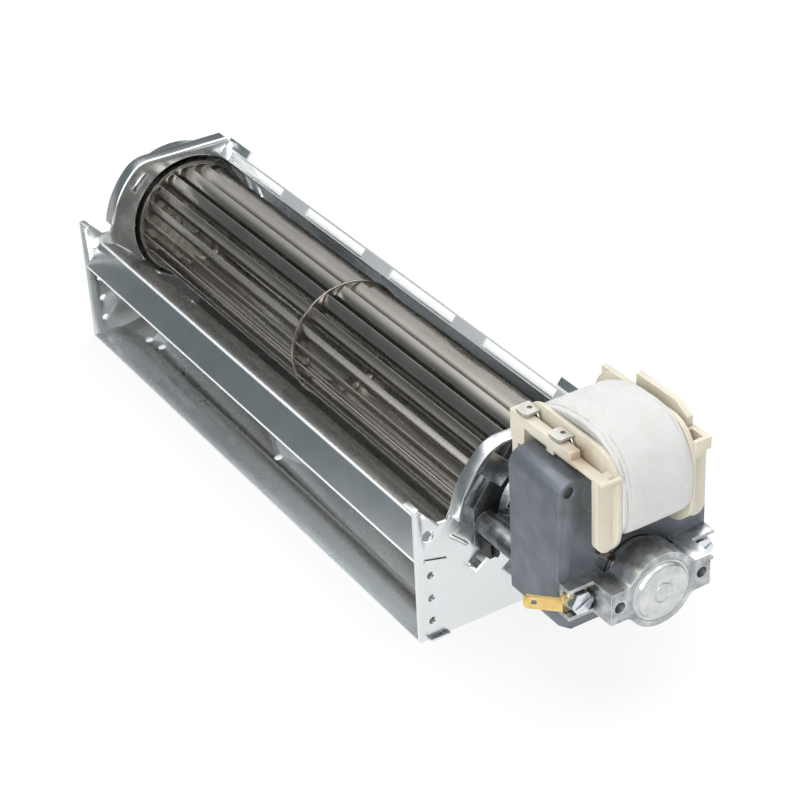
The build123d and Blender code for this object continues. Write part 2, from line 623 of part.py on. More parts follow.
def beside(side, x0, x1, y0, y1, z0, z1):
    """A block beside the coil, y counted outwards from the axis on that side."""
    return block(motor(x0), motor(x1), side * y0, side * y1, z0, z1)


bobbin = block(motor(STACK_X0 - TUBE_GAP - TUBE_T), motor(STACK_X1 + TUBE_GAP + TUBE_T), -COIL_HALF_W, COIL_HALF_W,
               BAR_MID - BAR_H / 2 - TUBE_GAP - TUBE_T, BAR_MID + BAR_H / 2 + TUBE_GAP + TUBE_T)
for side, flange_top in ((-1, 50.5), (1, 51.6)):
    bobbin += flange_plate(side * COIL_HALF_W, side * FLANGE_Y, flange_top)
    for x0 in LEG_X:
        leg = beside(side, x0, x0 + LEG_T, COIL_HALF_W + 0.2, LEDGE_Y, LEG_LOW, TROUGH_FLOOR)
        leg = fillet(leg.edges().filter_by(Axis.X).sort_by(Axis.Z)[:2], 3.3)
        bobbin += leg

# terminal side: floor, inner wall, block with its rear foot and finger, open shelf in front
bobbin += beside(-1, 12.8, BLOCK_END, COIL_HALF_W, TROUGH_Y, TROUGH_LOW, TROUGH_FLOOR)
bobbin += beside(-1, 12.8, BLOCK_END, BLOCK_IN_Y, TROUGH_Y, TROUGH_LOW, LEDGE_TOP)
bobbin += beside(-1, 12.8, BLOCK_END, BLOCK_IN_Y, LEDGE_Y, BLOCK_LOW, LEDGE_TOP)
bobbin += beside(-1, 12.8, 20.2, BLOCK_IN_Y, LEDGE_Y, 36.5, BLOCK_LOW)
bobbin += beside(-1, 32.0, 35.4, BLOCK_IN_Y, LEDGE_Y, 41.8, BLOCK_LOW)
bobbin += beside(-1, BLOCK_END, FLANGE_X1, BLOCK_IN_Y, LEDGE_Y, SHELF_LOW, SHELF_TOP)
bobbin += beside(-1, FLANGE_X1 - 1.4, FLANGE_X1, COIL_HALF_W, BLOCK_IN_Y, SHELF_LOW, SHELF_TOP)
bobbin += beside(-1, LEG_X[1], LEG_X[1] + LEG_T, COIL_HALF_W, LEDGE_Y, TROUGH_LOW, SHELF_TOP)

# plain side: floor, rear fin, long bar, and a box open at the top in front
bobbin += beside(1, 12.8, FLANGE_X1, COIL_HALF_W, TROUGH_Y, TROUGH_LOW, TROUGH_FLOOR)
bobbin += beside(1, 13.4, 28.5, FLANGE_Y - 0.3, FLANGE_Y + 1.5, TROUGH_LOW, 50.4)
bar_corners = [(26.6, TROUGH_LOW), (26.6, 52.8), (46.0, 52.8), (51.8, 49.6), (51.8, TROUGH_LOW)]
bar_profile = make_face(Polyline(bar_corners, close=True))
bar_plane = Plane(origin=(HALF, AXIS_Y + LEDGE_Y - 2.6, AXIS_H), x_dir=(1, 0, 0), z_dir=(0, -1, 0))
bobbin += extrude(bar_plane * bar_profile, amount=-2.2)
BOX_TOP = 46.3
for x0, x1, y0 in ((52.0, FLANGE_X1, TROUGH_Y), (52.0, 53.4, FLANGE_Y), (FLANGE_X1 - 1.4, FLANGE_X1, FLANGE_Y)):
    bobbin += beside(1, x0, x1, y0 - 0.2, LEDGE_Y, TROUGH_LOW + 1.2, BOX_TOP)
bobbin -= block(motor(STACK_X0 - TUBE_GAP), motor(STACK_X1 + TUBE_GAP), -30, 30, BAR_MID - BAR_H / 2 - TUBE_GAP,
                BAR_MID + BAR_H / 2 + TUBE_GAP)
save(bobbin, "bobbin")

# Taped winding between the flanges, flat below and rounded over the top
COIL_LOW = 20.5
coil_plane = Plane(origin=(0, AXIS_Y - COIL_HALF_W + 0.1, 0), x_dir=(1, 0, 0), z_dir=(0, -1, 0))
coil_face = make_face([
    Line((16.5, COIL_LOW), (54.0, COIL_LOW)),
    Spline(
        (54.0, COIL_LOW), (59.9, 23.6), (61.8, 33.0), (59.2, 45.5), (51.0, 52.8), (37.0, 54.5),
        (23.0, 51.3), (12.2, 42.0), (10.6, 31.0), (12.2, 23.6), (16.5, COIL_LOW),
    ),
])
coil = extrude(coil_plane * Pos(HALF, AXIS_H) * coil_face, amount=-2 * (COIL_HALF_W - 0.1))
coil -= block(motor(STACK_X0 - TUBE_GAP - TUBE_T - 0.05), motor(STACK_X1 + TUBE_GAP + TUBE_T + 0.05), -20, 20,
              BAR_MID - BAR_H / 2 - TUBE_GAP - TUBE_T - 0.05, BAR_MID + BAR_H / 2 + TUBE_GAP + TUBE_T + 0.05)
save(coil, "coil_winding")

# Flat terminal tabs over the block, their stems down to the trough's floor, and the wires soldered to them
tabs = []
leads = []
TAB_LOW = LEDGE_TOP + TAB_UP
TAB_IN_Y = FLANGE_Y + 0.15
TAB_OUT_Y = LEDGE_Y + 0.3
STEM_T = 0.8
for x0 in TAB_X:
    blade = block(motor(x0), motor(x0 + TAB_W), -TAB_OUT_Y, -TAB_IN_Y, TAB_LOW, TAB_LOW + TAB_T)
    blade = chamfer(blade.edges().filter_by(Axis.Z).sort_by(Axis.Y)[:2], 1.1)
    blade -= Pos(motor(x0 + TAB_W / 2), AXIS_Y - TAB_IN_Y - 1.9, AXIS_H + TAB_LOW) * Cylinder(0.9, 4.0)
    blade += block(motor(x0 + 1.9), motor(x0 + TAB_W - 1.6), -TAB_IN_Y - STEM_T, -TAB_IN_Y,
                   TROUGH_FLOOR, TAB_LOW + TAB_T)
    tabs.append(blade)
    lead_x = motor(x0 + TAB_W)
    lead_y = AXIS_Y - FLANGE_Y - 1.0
    start = (lead_x - 0.7, lead_y, AXIS_H + TAB_LOW - 0.25)
    mid = (lead_x + 0.5, lead_y, AXIS_H + TAB_LOW - 2.0)
    stop = (lead_x + 1.6, lead_y, AXIS_H + TROUGH_FLOOR + 0.9)
    wire_path = Spline(start, mid, stop)
    lead = sweep(Plane(origin=start, z_dir=wire_path % 0) * Circle(0.35), path=wire_path)
    lead += Pos(*stop) * Sphere(0.85)
    leads.append(lead)
save(Compound(children=tabs), "terminal_tabs")
save(Compound(children=leads), "coil_leads")

# Front bearing bracket: boss, two arm blocks with holes, two channelled feet on the stack
arm_face = Circle(BOSS_R) + Rectangle(2 * ARM_HALF_W, 2 * ARM_HALF_H)
concave = [v for v in arm_face.vertices() if hypot(v.X, v.Y) < BOSS_R + 0.1]
arm_face = fillet(concave, 3.5)
BOSS_BACK = 52.2
front_bracket = slab(Pos(AXIS_Y, AXIS_H) * arm_face, motor(BOSS_BACK), motor(BRACKET_FRONT))
for side in (-1, 1):
    y_a = side * 15.0
    y_b = side * (CORE_HALF_W - 0.2)
    front_bracket += block(motor(STACK_X1), motor(STACK_X1 + 2.0), y_a, y_b, -ARM_HALF_H, ARM_HALF_H)
    y_c = side * 13.4
    y_d = side * ARM_HALF_W
    front_bracket += block(motor(STACK_X1), motor(BOSS_BACK + 1), y_c, y_d, -ARM_HALF_H, ARM_HALF_H)
    for z0 in (-ARM_HALF_H, ARM_HALF_H - 1.2):
        front_bracket += block(motor(STACK_X1), motor(STACK_X1 + 5.2), y_d, y_b, z0, z0 + 1.2)
    front_bracket -= rod(motor(STACK_X1 - 1), motor(STACK_X1 + 3), SCREW_HOLE_R, dy=side * SCREW_Y)
    front_bracket -= rod(motor(STACK_X1 + 3.0), motor(BRACKET_FRONT + 1), ARM_HOLE_R, dy=side * ARM_HOLE_Y)
front_bracket -= rod(motor(STACK_X1 - 1), motor(BOSS_BACK), BOSS_R + 0.3)
FRONT_BEARING_X0 = 53.2
CAP_SEAT = BRACKET_FRONT - 1.5
front_bracket -= rod(motor(BOSS_BACK - 1), motor(BRACKET_FRONT + 1), 3.4)
front_bracket -= rod(motor(FRONT_BEARING_X0), motor(BRACKET_FRONT + 1), BEARING_R)
front_bracket -= rod(motor(CAP_SEAT), motor(BRACKET_FRONT + 1), CAP_R + 0.1)
save(front_bracket, "front_bracket")

front_bearing = rod(motor(FRONT_BEARING_X0), motor(FRONT_BEARING_X0 + BEARING_L), BEARING_R, inner=SHAFT_R + RUN_FIT)
save(front_bearing, "front_bearing")
cap_points = [
    (CAP_SEAT, 0), (CAP_SEAT, CAP_R), (BRACKET_FRONT, CAP_R), (BRACKET_FRONT, CAP_RAISED_R + 0.8),
    (BRACKET_FRONT + CAP_STAND, CAP_RAISED_R), (BRACKET_FRONT + CAP_STAND, 0),
]
cap = revolve_profile(cap_points, HALF, 1)
cap -= rod(motor(BRACKET_FRONT + CAP_STAND - 0.3), motor(BRACKET_FRONT + CAP_STAND + 1), 3.6, inner=3.0)
save(cap, "bearing_cap")

# Rotor on its shaft; the shaft runs from the front bearing into the wheel's coupling hub
RING_T = 2.5
ROTOR_X0 = 20.0
ROTOR_X1 = 51.5
save(rod(motor(ROTOR_X0 + RING_T), motor(ROTOR_X1 - RING_T), ROTOR_R, inner=SHAFT_R), "rotor_core")
end_rings = []
for x0 in (ROTOR_X0, ROTOR_X1 - RING_T):
    end_rings.append(rod(motor(x0), motor(x0 + RING_T), ROTOR_R - 0.2, inner=6.0))
save(Compound(children=end_rings), "rotor_end_rings")
SHAFT_END = CAP_SEAT - 0.8
shaft = rod(WHEEL_END - HUB_L + 0.6, motor(SHAFT_END), SHAFT_R)
shaft = chamfer(shaft.edges().filter_by(GeomType.CIRCLE), 0.4)
save(shaft, "motor_shaft")

# Long slotted hex screws that clamp both brackets to the stack, and the earth tab under one head
screws = []
SCREW_SEAT = STACK_X1 + 2.0
for side in (-1, 1):
    seat = SCREW_SEAT + (TAB_T if side < 0 else 0.0)
    hexagon = Pos(AXIS_Y + side * SCREW_Y, AXIS_H) * RegularPolygon(3.5, 6, major_radius=False)
    screw = slab(hexagon, motor(seat + 0.6), motor(seat + 3.6))
    screw += rod(motor(seat), motor(seat + 0.6), 3.9, dy=side * SCREW_Y)
    screw -= Pos(motor(seat + 3.6), AXIS_Y + side * SCREW_Y, AXIS_H) * Rot(25, 0, 0) * Box(2.4, 9.0, 1.0)
    screw += rod(motor(7.0), motor(seat), SCREW_R, dy=side * SCREW_Y)
    screws.append(screw)
save(Compound(children=screws), "motor_screws")

earth = block(motor(SCREW_SEAT), motor(SCREW_SEAT + TAB_T), -CORE_HALF_W - 0.6, -SCREW_Y + 4.0, -3.6, 3.0)
earth -= rod(motor(SCREW_SEAT - 1), motor(SCREW_SEAT + 2), SCREW_HOLE_R, dy=-SCREW_Y)
EARTH_L = 12.0
tongue_box = Pos(-EARTH_L / 2, 0, 0) * Box(EARTH_L, TAB_T, 5.2)
tongue_box = chamfer(tongue_box.edges().filter_by(Axis.Y).sort_by(Axis.X)[:2], 1.0)
tongue_box -= Pos(-EARTH_L + 3.4, 0, 0) * Rot(90, 0, 0) * Cylinder(0.9, 4.0)
earth += Pos(motor(SCREW_SEAT + TAB_T / 2), AXIS_Y - CORE_HALF_W - 0.3, AXIS_H - 0.6) * Rot(0, 0, 45) * tongue_box
save(earth, "earth_tab")
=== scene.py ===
# %% [markdown]
# # A cross flow fan, dressed for a studio picture
# The fan is a long drum wheel in folded zinc-coated sheet, with a shaded-pole motor on one end plate.
# Its solids come from the frame, in metres, with +X along the wheel to the motor, +Y from the air
# outlet to the rear and +Z up. This file gives every surface its finish, makes the pieces whose look
# needs more than a plain solid, and sets up the floor, lamps and camera.

# %% Load the frame
import bpy
import bmesh
import json
import math
from mathutils import Vector, Matrix, noise


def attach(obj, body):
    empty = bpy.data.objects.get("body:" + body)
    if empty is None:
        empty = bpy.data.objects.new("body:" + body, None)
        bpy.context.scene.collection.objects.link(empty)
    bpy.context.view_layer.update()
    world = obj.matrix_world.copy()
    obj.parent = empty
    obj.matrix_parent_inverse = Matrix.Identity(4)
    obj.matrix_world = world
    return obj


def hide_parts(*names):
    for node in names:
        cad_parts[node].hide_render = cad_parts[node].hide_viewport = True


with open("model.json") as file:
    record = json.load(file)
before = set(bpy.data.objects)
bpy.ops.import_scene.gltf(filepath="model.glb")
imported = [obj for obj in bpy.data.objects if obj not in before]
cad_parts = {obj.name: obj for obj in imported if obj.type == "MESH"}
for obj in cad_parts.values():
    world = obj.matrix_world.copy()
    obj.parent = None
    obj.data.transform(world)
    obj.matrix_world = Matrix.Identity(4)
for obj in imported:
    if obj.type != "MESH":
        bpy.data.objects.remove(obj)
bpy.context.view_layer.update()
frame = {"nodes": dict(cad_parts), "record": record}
scene = bpy.context.scene
NODES = frame["nodes"]
MM = 0.001

# %% [markdown]
# ## Camera
# The picture is taken from above the front left of the motor with a long lens. A camera could be aimed by
# eye or by a Track To constraint. Here its three axes are worked out from an azimuth, an elevation and a
# small roll, as a photographer would note them down, and the lens from the picture's focal length in
# pixels, because those numbers can be measured on the picture and corrected one at a time.

# %% Camera
PICTURE_PX = 800
FOCAL_PX = 2236.2
SENSOR_MM = 36.0
CAMERA_PLACE = Vector((0.61489, -0.29657, 0.44951))
CAMERA_AZIMUTH = math.radians(59.706)
CAMERA_ELEVATION = math.radians(31.949)
CAMERA_ROLL = math.radians(3.151)


def camera_axes():
    """Right, up and backward: the camera's own axes, given in the frame."""
    flat = math.cos(CAMERA_ELEVATION)
    forward = Vector((-math.sin(CAMERA_AZIMUTH) * flat, math.cos(CAMERA_AZIMUTH) * flat,
                      -math.sin(CAMERA_ELEVATION)))
    level_right = forward.cross(Vector((0, 0, 1))).normalized()
    level_down = forward.cross(level_right)
    right = math.cos(CAMERA_ROLL) * level_right + math.sin(CAMERA_ROLL) * level_down
    down = forward.cross(right)
    return right, -down, -forward


camera_data = bpy.data.cameras.new("camera")
camera_data.sensor_width = SENSOR_MM
camera_data.lens = FOCAL_PX / PICTURE_PX * SENSOR_MM
camera_data.clip_start = 0.01
camera_data.clip_end = 20.0
camera = bpy.data.objects.new("camera", camera_data)
camera.matrix_world = Matrix.Translation(CAMERA_PLACE) @ Matrix(camera_axes()).transposed().to_4x4()
scene.collection.objects.link(camera)
scene.camera = camera
print("lens in mm:", round(camera_data.lens, 2))

# %% [markdown]
# ## Small helpers for node trees
# A material and a Geometry Nodes setup are both graphs of nodes. Each node could be made and linked line by
# line, which hides the recipe in bookkeeping. These helpers add a node and link it in one line instead.
# An input is named as in Blender, with an underscore for a space, or given by its number.


# %% Node helpers
class Graph:
    """A node tree with short ways to add and link nodes."""

    def __init__(self, tree):
        self.tree = tree

    def add(self, kind, _props=None, **inputs):
        node = self.tree.nodes.new(kind)
        for key, value in (_props or {}).items():
            setattr(node, key, value)
        for key, value in inputs.items():
            self.put(node, key.replace("_", " "), value)
        return node

    def put(self, node, name, value):
        """Link a socket into an input, or write a plain value there."""
        socket = node.inputs[name]
        if isinstance(value, bpy.types.NodeSocket):
            self.tree.links.new(value, socket)
        else:
            socket.default_value = value

    def math(self, operation, a, b=0.0):
        node = self.add("ShaderNodeMath", {"operation": operation})
        self.put(node, 0, a)
        self.put(node, 1, b)
        return node.outputs[0]

    def measure(self, operation, a, b):
        """One number from two vectors, such as their dot product or the distance between them."""
        node = self.add("ShaderNodeVectorMath", {"operation": operation})
        self.put(node, 0, a)
        self.put(node, 1, b)
        return node.outputs["Value"]

    def mix(self, factor, a, b):
        """Blend two colours; the Mix node keeps its colour inputs at numbers 6 and 7."""
        node = self.add("ShaderNodeMix", {"data_type": "RGBA"})
        for index, value in ((0, factor), (6, a), (7, b)):
            self.put(node, index, value)
        return node.outputs[2]

    def ramp(self, value, low, high, to_low=0.0, to_high=1.0):
        """Stretch low..high to to_low..to_high and hold the ends."""
        node = self.add("ShaderNodeMapRange")
        for index, number in ((0, value), (1, low), (2, high), (3, to_low), (4, to_high)):
            self.put(node, index, number)
        return node.outputs[0]

    def where(self, of="Object"):
        """The place of the point, in the piece's own coordinates unless told otherwise."""
        return self.add("ShaderNodeTexCoord").outputs[of]

    def split(self, vector):
        return self.add("ShaderNodeSeparateXYZ", Vector=vector).outputs


def colour(r, g, b):
    return (r, g, b, 1.0)


WHITE = colour(1, 1, 1)
FLOAT = "NodeSocketFloat"
VECTOR = "NodeSocketVector"
print("helpers ready:", [name for name in vars(Graph) if not name.startswith("_")])

# %% [markdown]
# ## Worn edges
# Handling rubs the skin off every corner, so a folded rim or a cast edge is brighter than the face beside
# it. That could be painted piece by piece, but a mask that finds the edges by itself fits them all. The
# Bevel node gives the normal that a rounded edge would have, and where it leaves the true normal there is
# an edge. Several finishes need this, so it is a node group, built once. Like the three groups after it,
# it puts out masks or heights only, and the shader stays in the material.

# %% Edge wear group
BEVEL_SAMPLES = 8
FLAT_COSINE = 0.995     # the two normals still agree: no edge
EDGE_COSINE = 0.86      # they differ this much: the middle of an edge


def new_group(name, inputs, outputs):
    """An empty shader node group with named number inputs and outputs."""
    tree = bpy.data.node_groups.new(name, "ShaderNodeTree")
    for label, default in inputs.items():
        tree.interface.new_socket(label, in_out="INPUT", socket_type=FLOAT).default_value = default
    for label in outputs:
        tree.interface.new_socket(label, in_out="OUTPUT", socket_type=FLOAT)
    print("group:", name, "puts out", outputs)
    return Graph(tree), tree.nodes.new("NodeGroupInput"), tree.nodes.new("NodeGroupOutput")


def build_edge_wear():
    g, gin, gout = new_group("edge_wear", {"Radius": 0.4 * MM}, ["Mask"])
    rounded = g.add("ShaderNodeBevel", {"samples": BEVEL_SAMPLES}, Radius=gin.outputs["Radius"])
    surface = g.add("ShaderNodeNewGeometry")
    agreement = g.measure("DOT_PRODUCT", rounded.outputs[0], surface.outputs["Normal"])
    g.put(gout, "Mask", g.ramp(agreement, FLAT_COSINE, EDGE_COSINE))
    return g.tree


EDGE_WEAR = build_edge_wear()

# %% [markdown]
# ## Grain of rolled, zinc-coated sheet
# Rolling leaves fine lines along the sheet, and the zinc sets in soft cloudy flakes. A photograph of sheet
# could be laid on, but noise needs no picture and has no seams at the folds. One noise is stretched along
# X for the lines, a second gives the clouds, and Voronoi cells add the flakes.

# %% Sheet grain group
LINE_STRETCH = (6.0, 600.0, 600.0)      # noise cells per metre: long in X, fine in Y and Z
CLOUDS_PER_METRE = 60.0
FLAKES_PER_METRE = 420.0
FLAKE_SHARE = 0.2


def build_sheet_grain():
    g, gin, gout = new_group("sheet_grain", {"Line Scale": 1.0, "Cloud Scale": 1.0},
                             ["Lines", "Cloud", "Height"])
    where, cloud_scale = g.where(), gin.outputs["Cloud Scale"]
    stretched = g.add("ShaderNodeMapping", Vector=where, Scale=LINE_STRETCH)
    lines = g.add("ShaderNodeTexNoise", Vector=stretched.outputs[0], Scale=gin.outputs["Line Scale"],
                  Detail=1.0).outputs["Fac"]
    cloud = g.add("ShaderNodeTexNoise", Vector=where, Scale=g.math("MULTIPLY", cloud_scale, CLOUDS_PER_METRE),
                  Detail=3.0, Roughness=0.5).outputs["Fac"]
    flakes = g.add("ShaderNodeTexVoronoi", Vector=where,
                   Scale=g.math("MULTIPLY", cloud_scale, FLAKES_PER_METRE)).outputs["Color"]
    spangle = g.math("ADD", g.ramp(cloud, 0.25, 0.75), g.math("MULTIPLY", flakes, FLAKE_SHARE))
    g.put(gout, "Lines", g.ramp(lines, 0.3, 0.7))
    g.put(gout, "Cloud", g.math("MULTIPLY", spangle, 0.75))
    g.put(gout, "Height", g.math("ADD", g.math("MULTIPLY", lines, 0.6), g.math("MULTIPLY", cloud, 0.4)))
    return g.tree


SHEET_GRAIN = build_sheet_grain()

# %% [markdown]
# ## Skin of a die casting
# Metal that sets against a steel mould comes out mottled and faintly pitted. The pits are far too small to
# model, so two noises do the work: a coarse one for the blotches of tone, and a fine one for the pits.

# %% Cast skin group
BLOTCHES_PER_METRE = 260.0
PITS_PER_METRE = 2600.0


def build_cast_skin():
    g, gin, gout = new_group("cast_skin", {"Scale": 1.0}, ["Blotch", "Height"])
    where, scale = g.where(), gin.outputs["Scale"]
    blotch = g.add("ShaderNodeTexNoise", Vector=where, Scale=g.math("MULTIPLY", scale, BLOTCHES_PER_METRE),
                   Detail=5.0, Roughness=0.6).outputs["Fac"]
    pits = g.add("ShaderNodeTexNoise", Vector=where, Scale=g.math("MULTIPLY", scale, PITS_PER_METRE),
                 Detail=2.0).outputs["Fac"]
    g.put(gout, "Blotch", g.ramp(blotch, 0.35, 0.68))
    g.put(gout, "Height", g.math("ADD", g.math("MULTIPLY", blotch, 0.6), pits))
    return g.tree


CAST_SKIN = build_cast_skin()

# %% [markdown]
# ## Plain weave
# Woven tape is threads that pass over and under each other. They could be modelled one by one, but the
# tape is seen from nearly a metre, so a pattern is enough. A sine along the tape and one across it give the
# two sets of threads, and the sign of their product says which set lies on top. The pattern reads the
# piece's own UV, in millimetres, so that it turns with the tape instead of running straight through it.


# %% Weave group
def build_weave():
    g, gin, gout = new_group("tape_weave", {"Threads": 3.2}, ["Weave", "Soil"])
    place = g.split(g.where("UV"))
    waves = []
    for axis in "XY":
        threads = g.math("MULTIPLY", place[axis], gin.outputs["Threads"])
        waves.append(g.math("SINE", g.math("MULTIPLY", threads, math.pi)))
    warp, weft = (g.math("ABSOLUTE", wave) for wave in waves)
    over = g.ramp(g.math("SIGN", g.math("MULTIPLY", *waves)), -1.0, 1.0)
    g.put(gout, "Weave", g.math("ADD", g.math("MULTIPLY", warp, over),
                                g.math("MULTIPLY", weft, g.math("SUBTRACT", 1.0, over))))
    soil = g.add("ShaderNodeTexNoise", Vector=g.where(), Scale=120.0, Detail=4.0)
    g.put(gout, "Soil", g.ramp(soil.outputs["Fac"], 0.4, 0.7))
    return g.tree


WEAVE = build_weave()

# %% [markdown]
# ## Finishes
# Each finish is a material made by a small function, so that sheets or castings that differ in tone share
# one recipe. Most are kept under the name that the record gives a slot. A few pieces have a finish of their
# own: some were made or handled apart from the rest of their slot, two sheets carry a painted highlight,
# and the rear bracket carries painted shade.

# %% Material helpers
MATERIALS = {}
OWN_FINISH = {}


def start_material(name, **shader):
    """A material with a Principled shader, whose plain values are set on its own sockets."""
    mat = bpy.data.materials.new(name)
    mat.use_nodes = True
    mat.node_tree.nodes.clear()
    g = Graph(mat.node_tree)
    bsdf = g.add("ShaderNodeBsdfPrincipled", **shader)
    g.add("ShaderNodeOutputMaterial", Surface=bsdf.outputs[0])
    return mat, g, bsdf


def use(g, tree, **inputs):
    """Place a shared group in a material."""
    return g.add("ShaderNodeGroup", {"node_tree": tree}, **inputs)


def bump(g, bsdf, height, strength, distance):
    node = g.add("ShaderNodeBump", Strength=strength, Distance=distance, Height=height)
    g.put(bsdf, "Normal", node.outputs[0])


def keep(slot, mat):
    MATERIALS[slot] = mat
    print("finish:", slot)


print("material helpers ready")

# %% [markdown]
# ## Zinc-coated sheet
# The housing is bent from coated steel sheet, and the wheel from a warmer, duller one. Both are bare
# metal, fully metallic with a mid roughness, so they take their look from the room in soft bands. Worn
# edges are found by the wear group, lightened, and made less metallic. The stabiliser's two blunt folds
# and the top of the scroll sheet are too round or too wide for it; on them a painted highlight is laid,
# lighter and less metallic in the same way, so it stays bright whatever the sheet mirrors. Their places
# are read from the solids and marked by distance.

# %% Zinc-coated sheet
# colour of worn edges, and of the painted highlight on the folds and under the scroll sheet's top
ZINC_WEAR_AND_HIGHLIGHT = colour(0.93, 0.94, 0.94)
FOLD_REACH, FOLD_CORE, FOLD_HIGHLIGHT = 0.8 * MM, 0.45 * MM, 0.9
TOP_HIGHLIGHT_BANDS = [(30.0, 26.0, 0.13), (4.4, 3.4, 0.42)]      # mm under the top: begins, full; then how strong the painted highlight is


def highlight_beside_fold(g, y, z):
    """How strong the painted highlight is beside a fold that runs along X at (y, z)."""
    place = g.split(g.where())
    off_y = g.math("SUBTRACT", place["Y"], y)
    off_z = g.math("SUBTRACT", place["Z"], z)
    away = g.math("SQRT", g.math("ADD", g.math("MULTIPLY", off_y, off_y), g.math("MULTIPLY", off_z, off_z)))
    return g.ramp(away, FOLD_REACH, FOLD_CORE, 0.0, FOLD_HIGHLIGHT)


def zinc_sheet(name, dark, light, rough, relief, worn, folds=(), top=None):
    mat, g, bsdf = start_material(name, Metallic=1.0)
    grain = use(g, SHEET_GRAIN, Line_Scale=1.0, Cloud_Scale=1.0).outputs
    lightened = g.math("MULTIPLY", use(g, EDGE_WEAR, Radius=0.35 * MM).outputs[0], worn)
    # painted highlight: lighter along the folds and in bands under the top, where the sheet catches the light
    for y, z in folds:
        lightened = g.math("MAXIMUM", lightened, highlight_beside_fold(g, y, z))
    if top:
        height = g.split(g.where())["Z"]
        for begins, full, band_highlight in TOP_HIGHLIGHT_BANDS:
            band = g.ramp(height, top - begins * MM, top - full * MM, 0.0, band_highlight)
            lightened = g.math("MAXIMUM", lightened, band)
    tone = g.mix(grain["Cloud"], colour(*dark), colour(*light))
    streaked = g.mix(g.math("MULTIPLY", grain["Lines"], 0.3), tone, colour(*light))
    g.put(bsdf, "Base Color", g.mix(lightened, streaked, ZINC_WEAR_AND_HIGHLIGHT))
    # less metallic where lightened, so worn edges and the painted highlight stay bright whatever the sheet
    # mirrors
    g.put(bsdf, "Metallic", g.math("SUBTRACT", 1.0, g.math("MULTIPLY", lightened, 0.8)))
    g.put(bsdf, "Roughness", g.ramp(grain["Cloud"], 0.0, 1.0, *rough))
    bump(g, bsdf, grain["Height"], relief, 0.05 * MM)
    return mat


# how far to each side of a fold the painted highlight reaches
print("a fold is rubbed this far to each side, in mm:", round(FOLD_REACH / MM, 2))

# %% The housing's and the wheel's sheet
ZINC = {"dark": (0.775, 0.80, 0.81), "light": (0.835, 0.855, 0.86), "rough": (0.25, 0.3), "relief": 0.012,
        "worn": 0.8}
WHEEL_ZINC = {"dark": (0.40, 0.376, 0.343), "light": (0.465, 0.44, 0.405), "rough": (0.25, 0.31),
              "relief": 0.01, "worn": 0.4}
INSIDE_PLATES = 121.7 * MM      # half the length between the end plates, which leaves out the end tabs

keep("zinc_sheet", zinc_sheet("zinc_sheet", **ZINC))
keep("wheel_metal", zinc_sheet("wheel_metal", **WHEEL_ZINC))

stabiliser = [v.co for v in NODES["stabiliser_sheet"].data.vertices if abs(v.co.x) < INSIDE_PLATES]
low_fold = min(stabiliser, key=lambda p: p.y)
top_fold = max(stabiliser, key=lambda p: p.z)
scroll_top = max(v.co.z for v in NODES["scroll_sheet"].data.vertices)
# the stabiliser's folds and the top of the scroll sheet take a painted highlight
OWN_FINISH["stabiliser_sheet"] = zinc_sheet("zinc_folded", **ZINC, folds=[p.yz for p in (low_fold, top_fold)])
OWN_FINISH["scroll_sheet"] = zinc_sheet("zinc_scroll", **ZINC, top=scroll_top)
print("folds in mm:", [round(c / MM, 1) for p in (low_fold, top_fold) for c in p.yz])

# %% [markdown]
# ## Castings and turned metal
# The brackets and the cap are die castings, with dull hollows and edges worn bright. Turned and drawn
# parts such as the shaft, screws and tabs are far smoother, yet the same recipe holds for them with
# shallower pits, so one function and a table of tones serve them all. Some pieces leave their slot's tone:
# the rear bracket is darker than the front one as painted shade, the cap is more even, the tabs are tinned,
# the coil's leads are soldered over and the stack's rivets are dull; the copper is darkened as painted shade.

# %% Castings and turned metal
RUBBED_CAST = colour(0.93, 0.93, 0.93)


def cast_metal(name, dark, light, roughness, pitting, edge=0.4):
    mat, g, bsdf = start_material(name, Metallic=1.0)
    skin = use(g, CAST_SKIN, Scale=1.0).outputs
    lightened = g.math("MULTIPLY", use(g, EDGE_WEAR, Radius=0.4 * MM).outputs[0], edge)
    tone = g.mix(skin["Blotch"], colour(*dark), colour(*light))
    g.put(bsdf, "Base Color", g.mix(lightened, tone, RUBBED_CAST))
    g.put(bsdf, "Metallic", g.math("SUBTRACT", 1.0, g.math("MULTIPLY", lightened, 0.6)))
    g.put(bsdf, "Roughness", g.ramp(skin["Blotch"], 0.0, 1.0, roughness + 0.1, roughness))
    bump(g, bsdf, skin["Height"], pitting, 0.06 * MM)
    return mat


# slot: darkest tone, lightest tone, roughness, pitting and, where it isn't the usual 0.4, edge wear
CAST_TONES = {
    "die_cast": ((0.30, 0.315, 0.325), (0.66, 0.675, 0.685), 0.3, 0.6, 0.75),
    "bright_aluminium": ((0.78, 0.78, 0.79), (0.88, 0.88, 0.89), 0.24, 0.1),
    "rotor_steel": ((0.3, 0.3, 0.31), (0.42, 0.42, 0.43), 0.3, 0.15),
    "bright_steel": ((0.6, 0.6, 0.59), (0.72, 0.72, 0.71), 0.24, 0.08),
    "zinc_screws": ((0.66, 0.7, 0.74), (0.8, 0.83, 0.86), 0.2, 0.08),
    "brass": ((0.80, 0.56, 0.20), (0.92, 0.70, 0.32), 0.24, 0.1),
    # copper: darkened to near black so the shading rings sit dark under the coil, a painted shade
    "copper": ((0.10, 0.075, 0.06), (0.18, 0.13, 0.10), 0.4, 0.1),
    "sintered_bronze": ((0.4, 0.29, 0.17), (0.52, 0.4, 0.26), 0.45, 0.5),
}
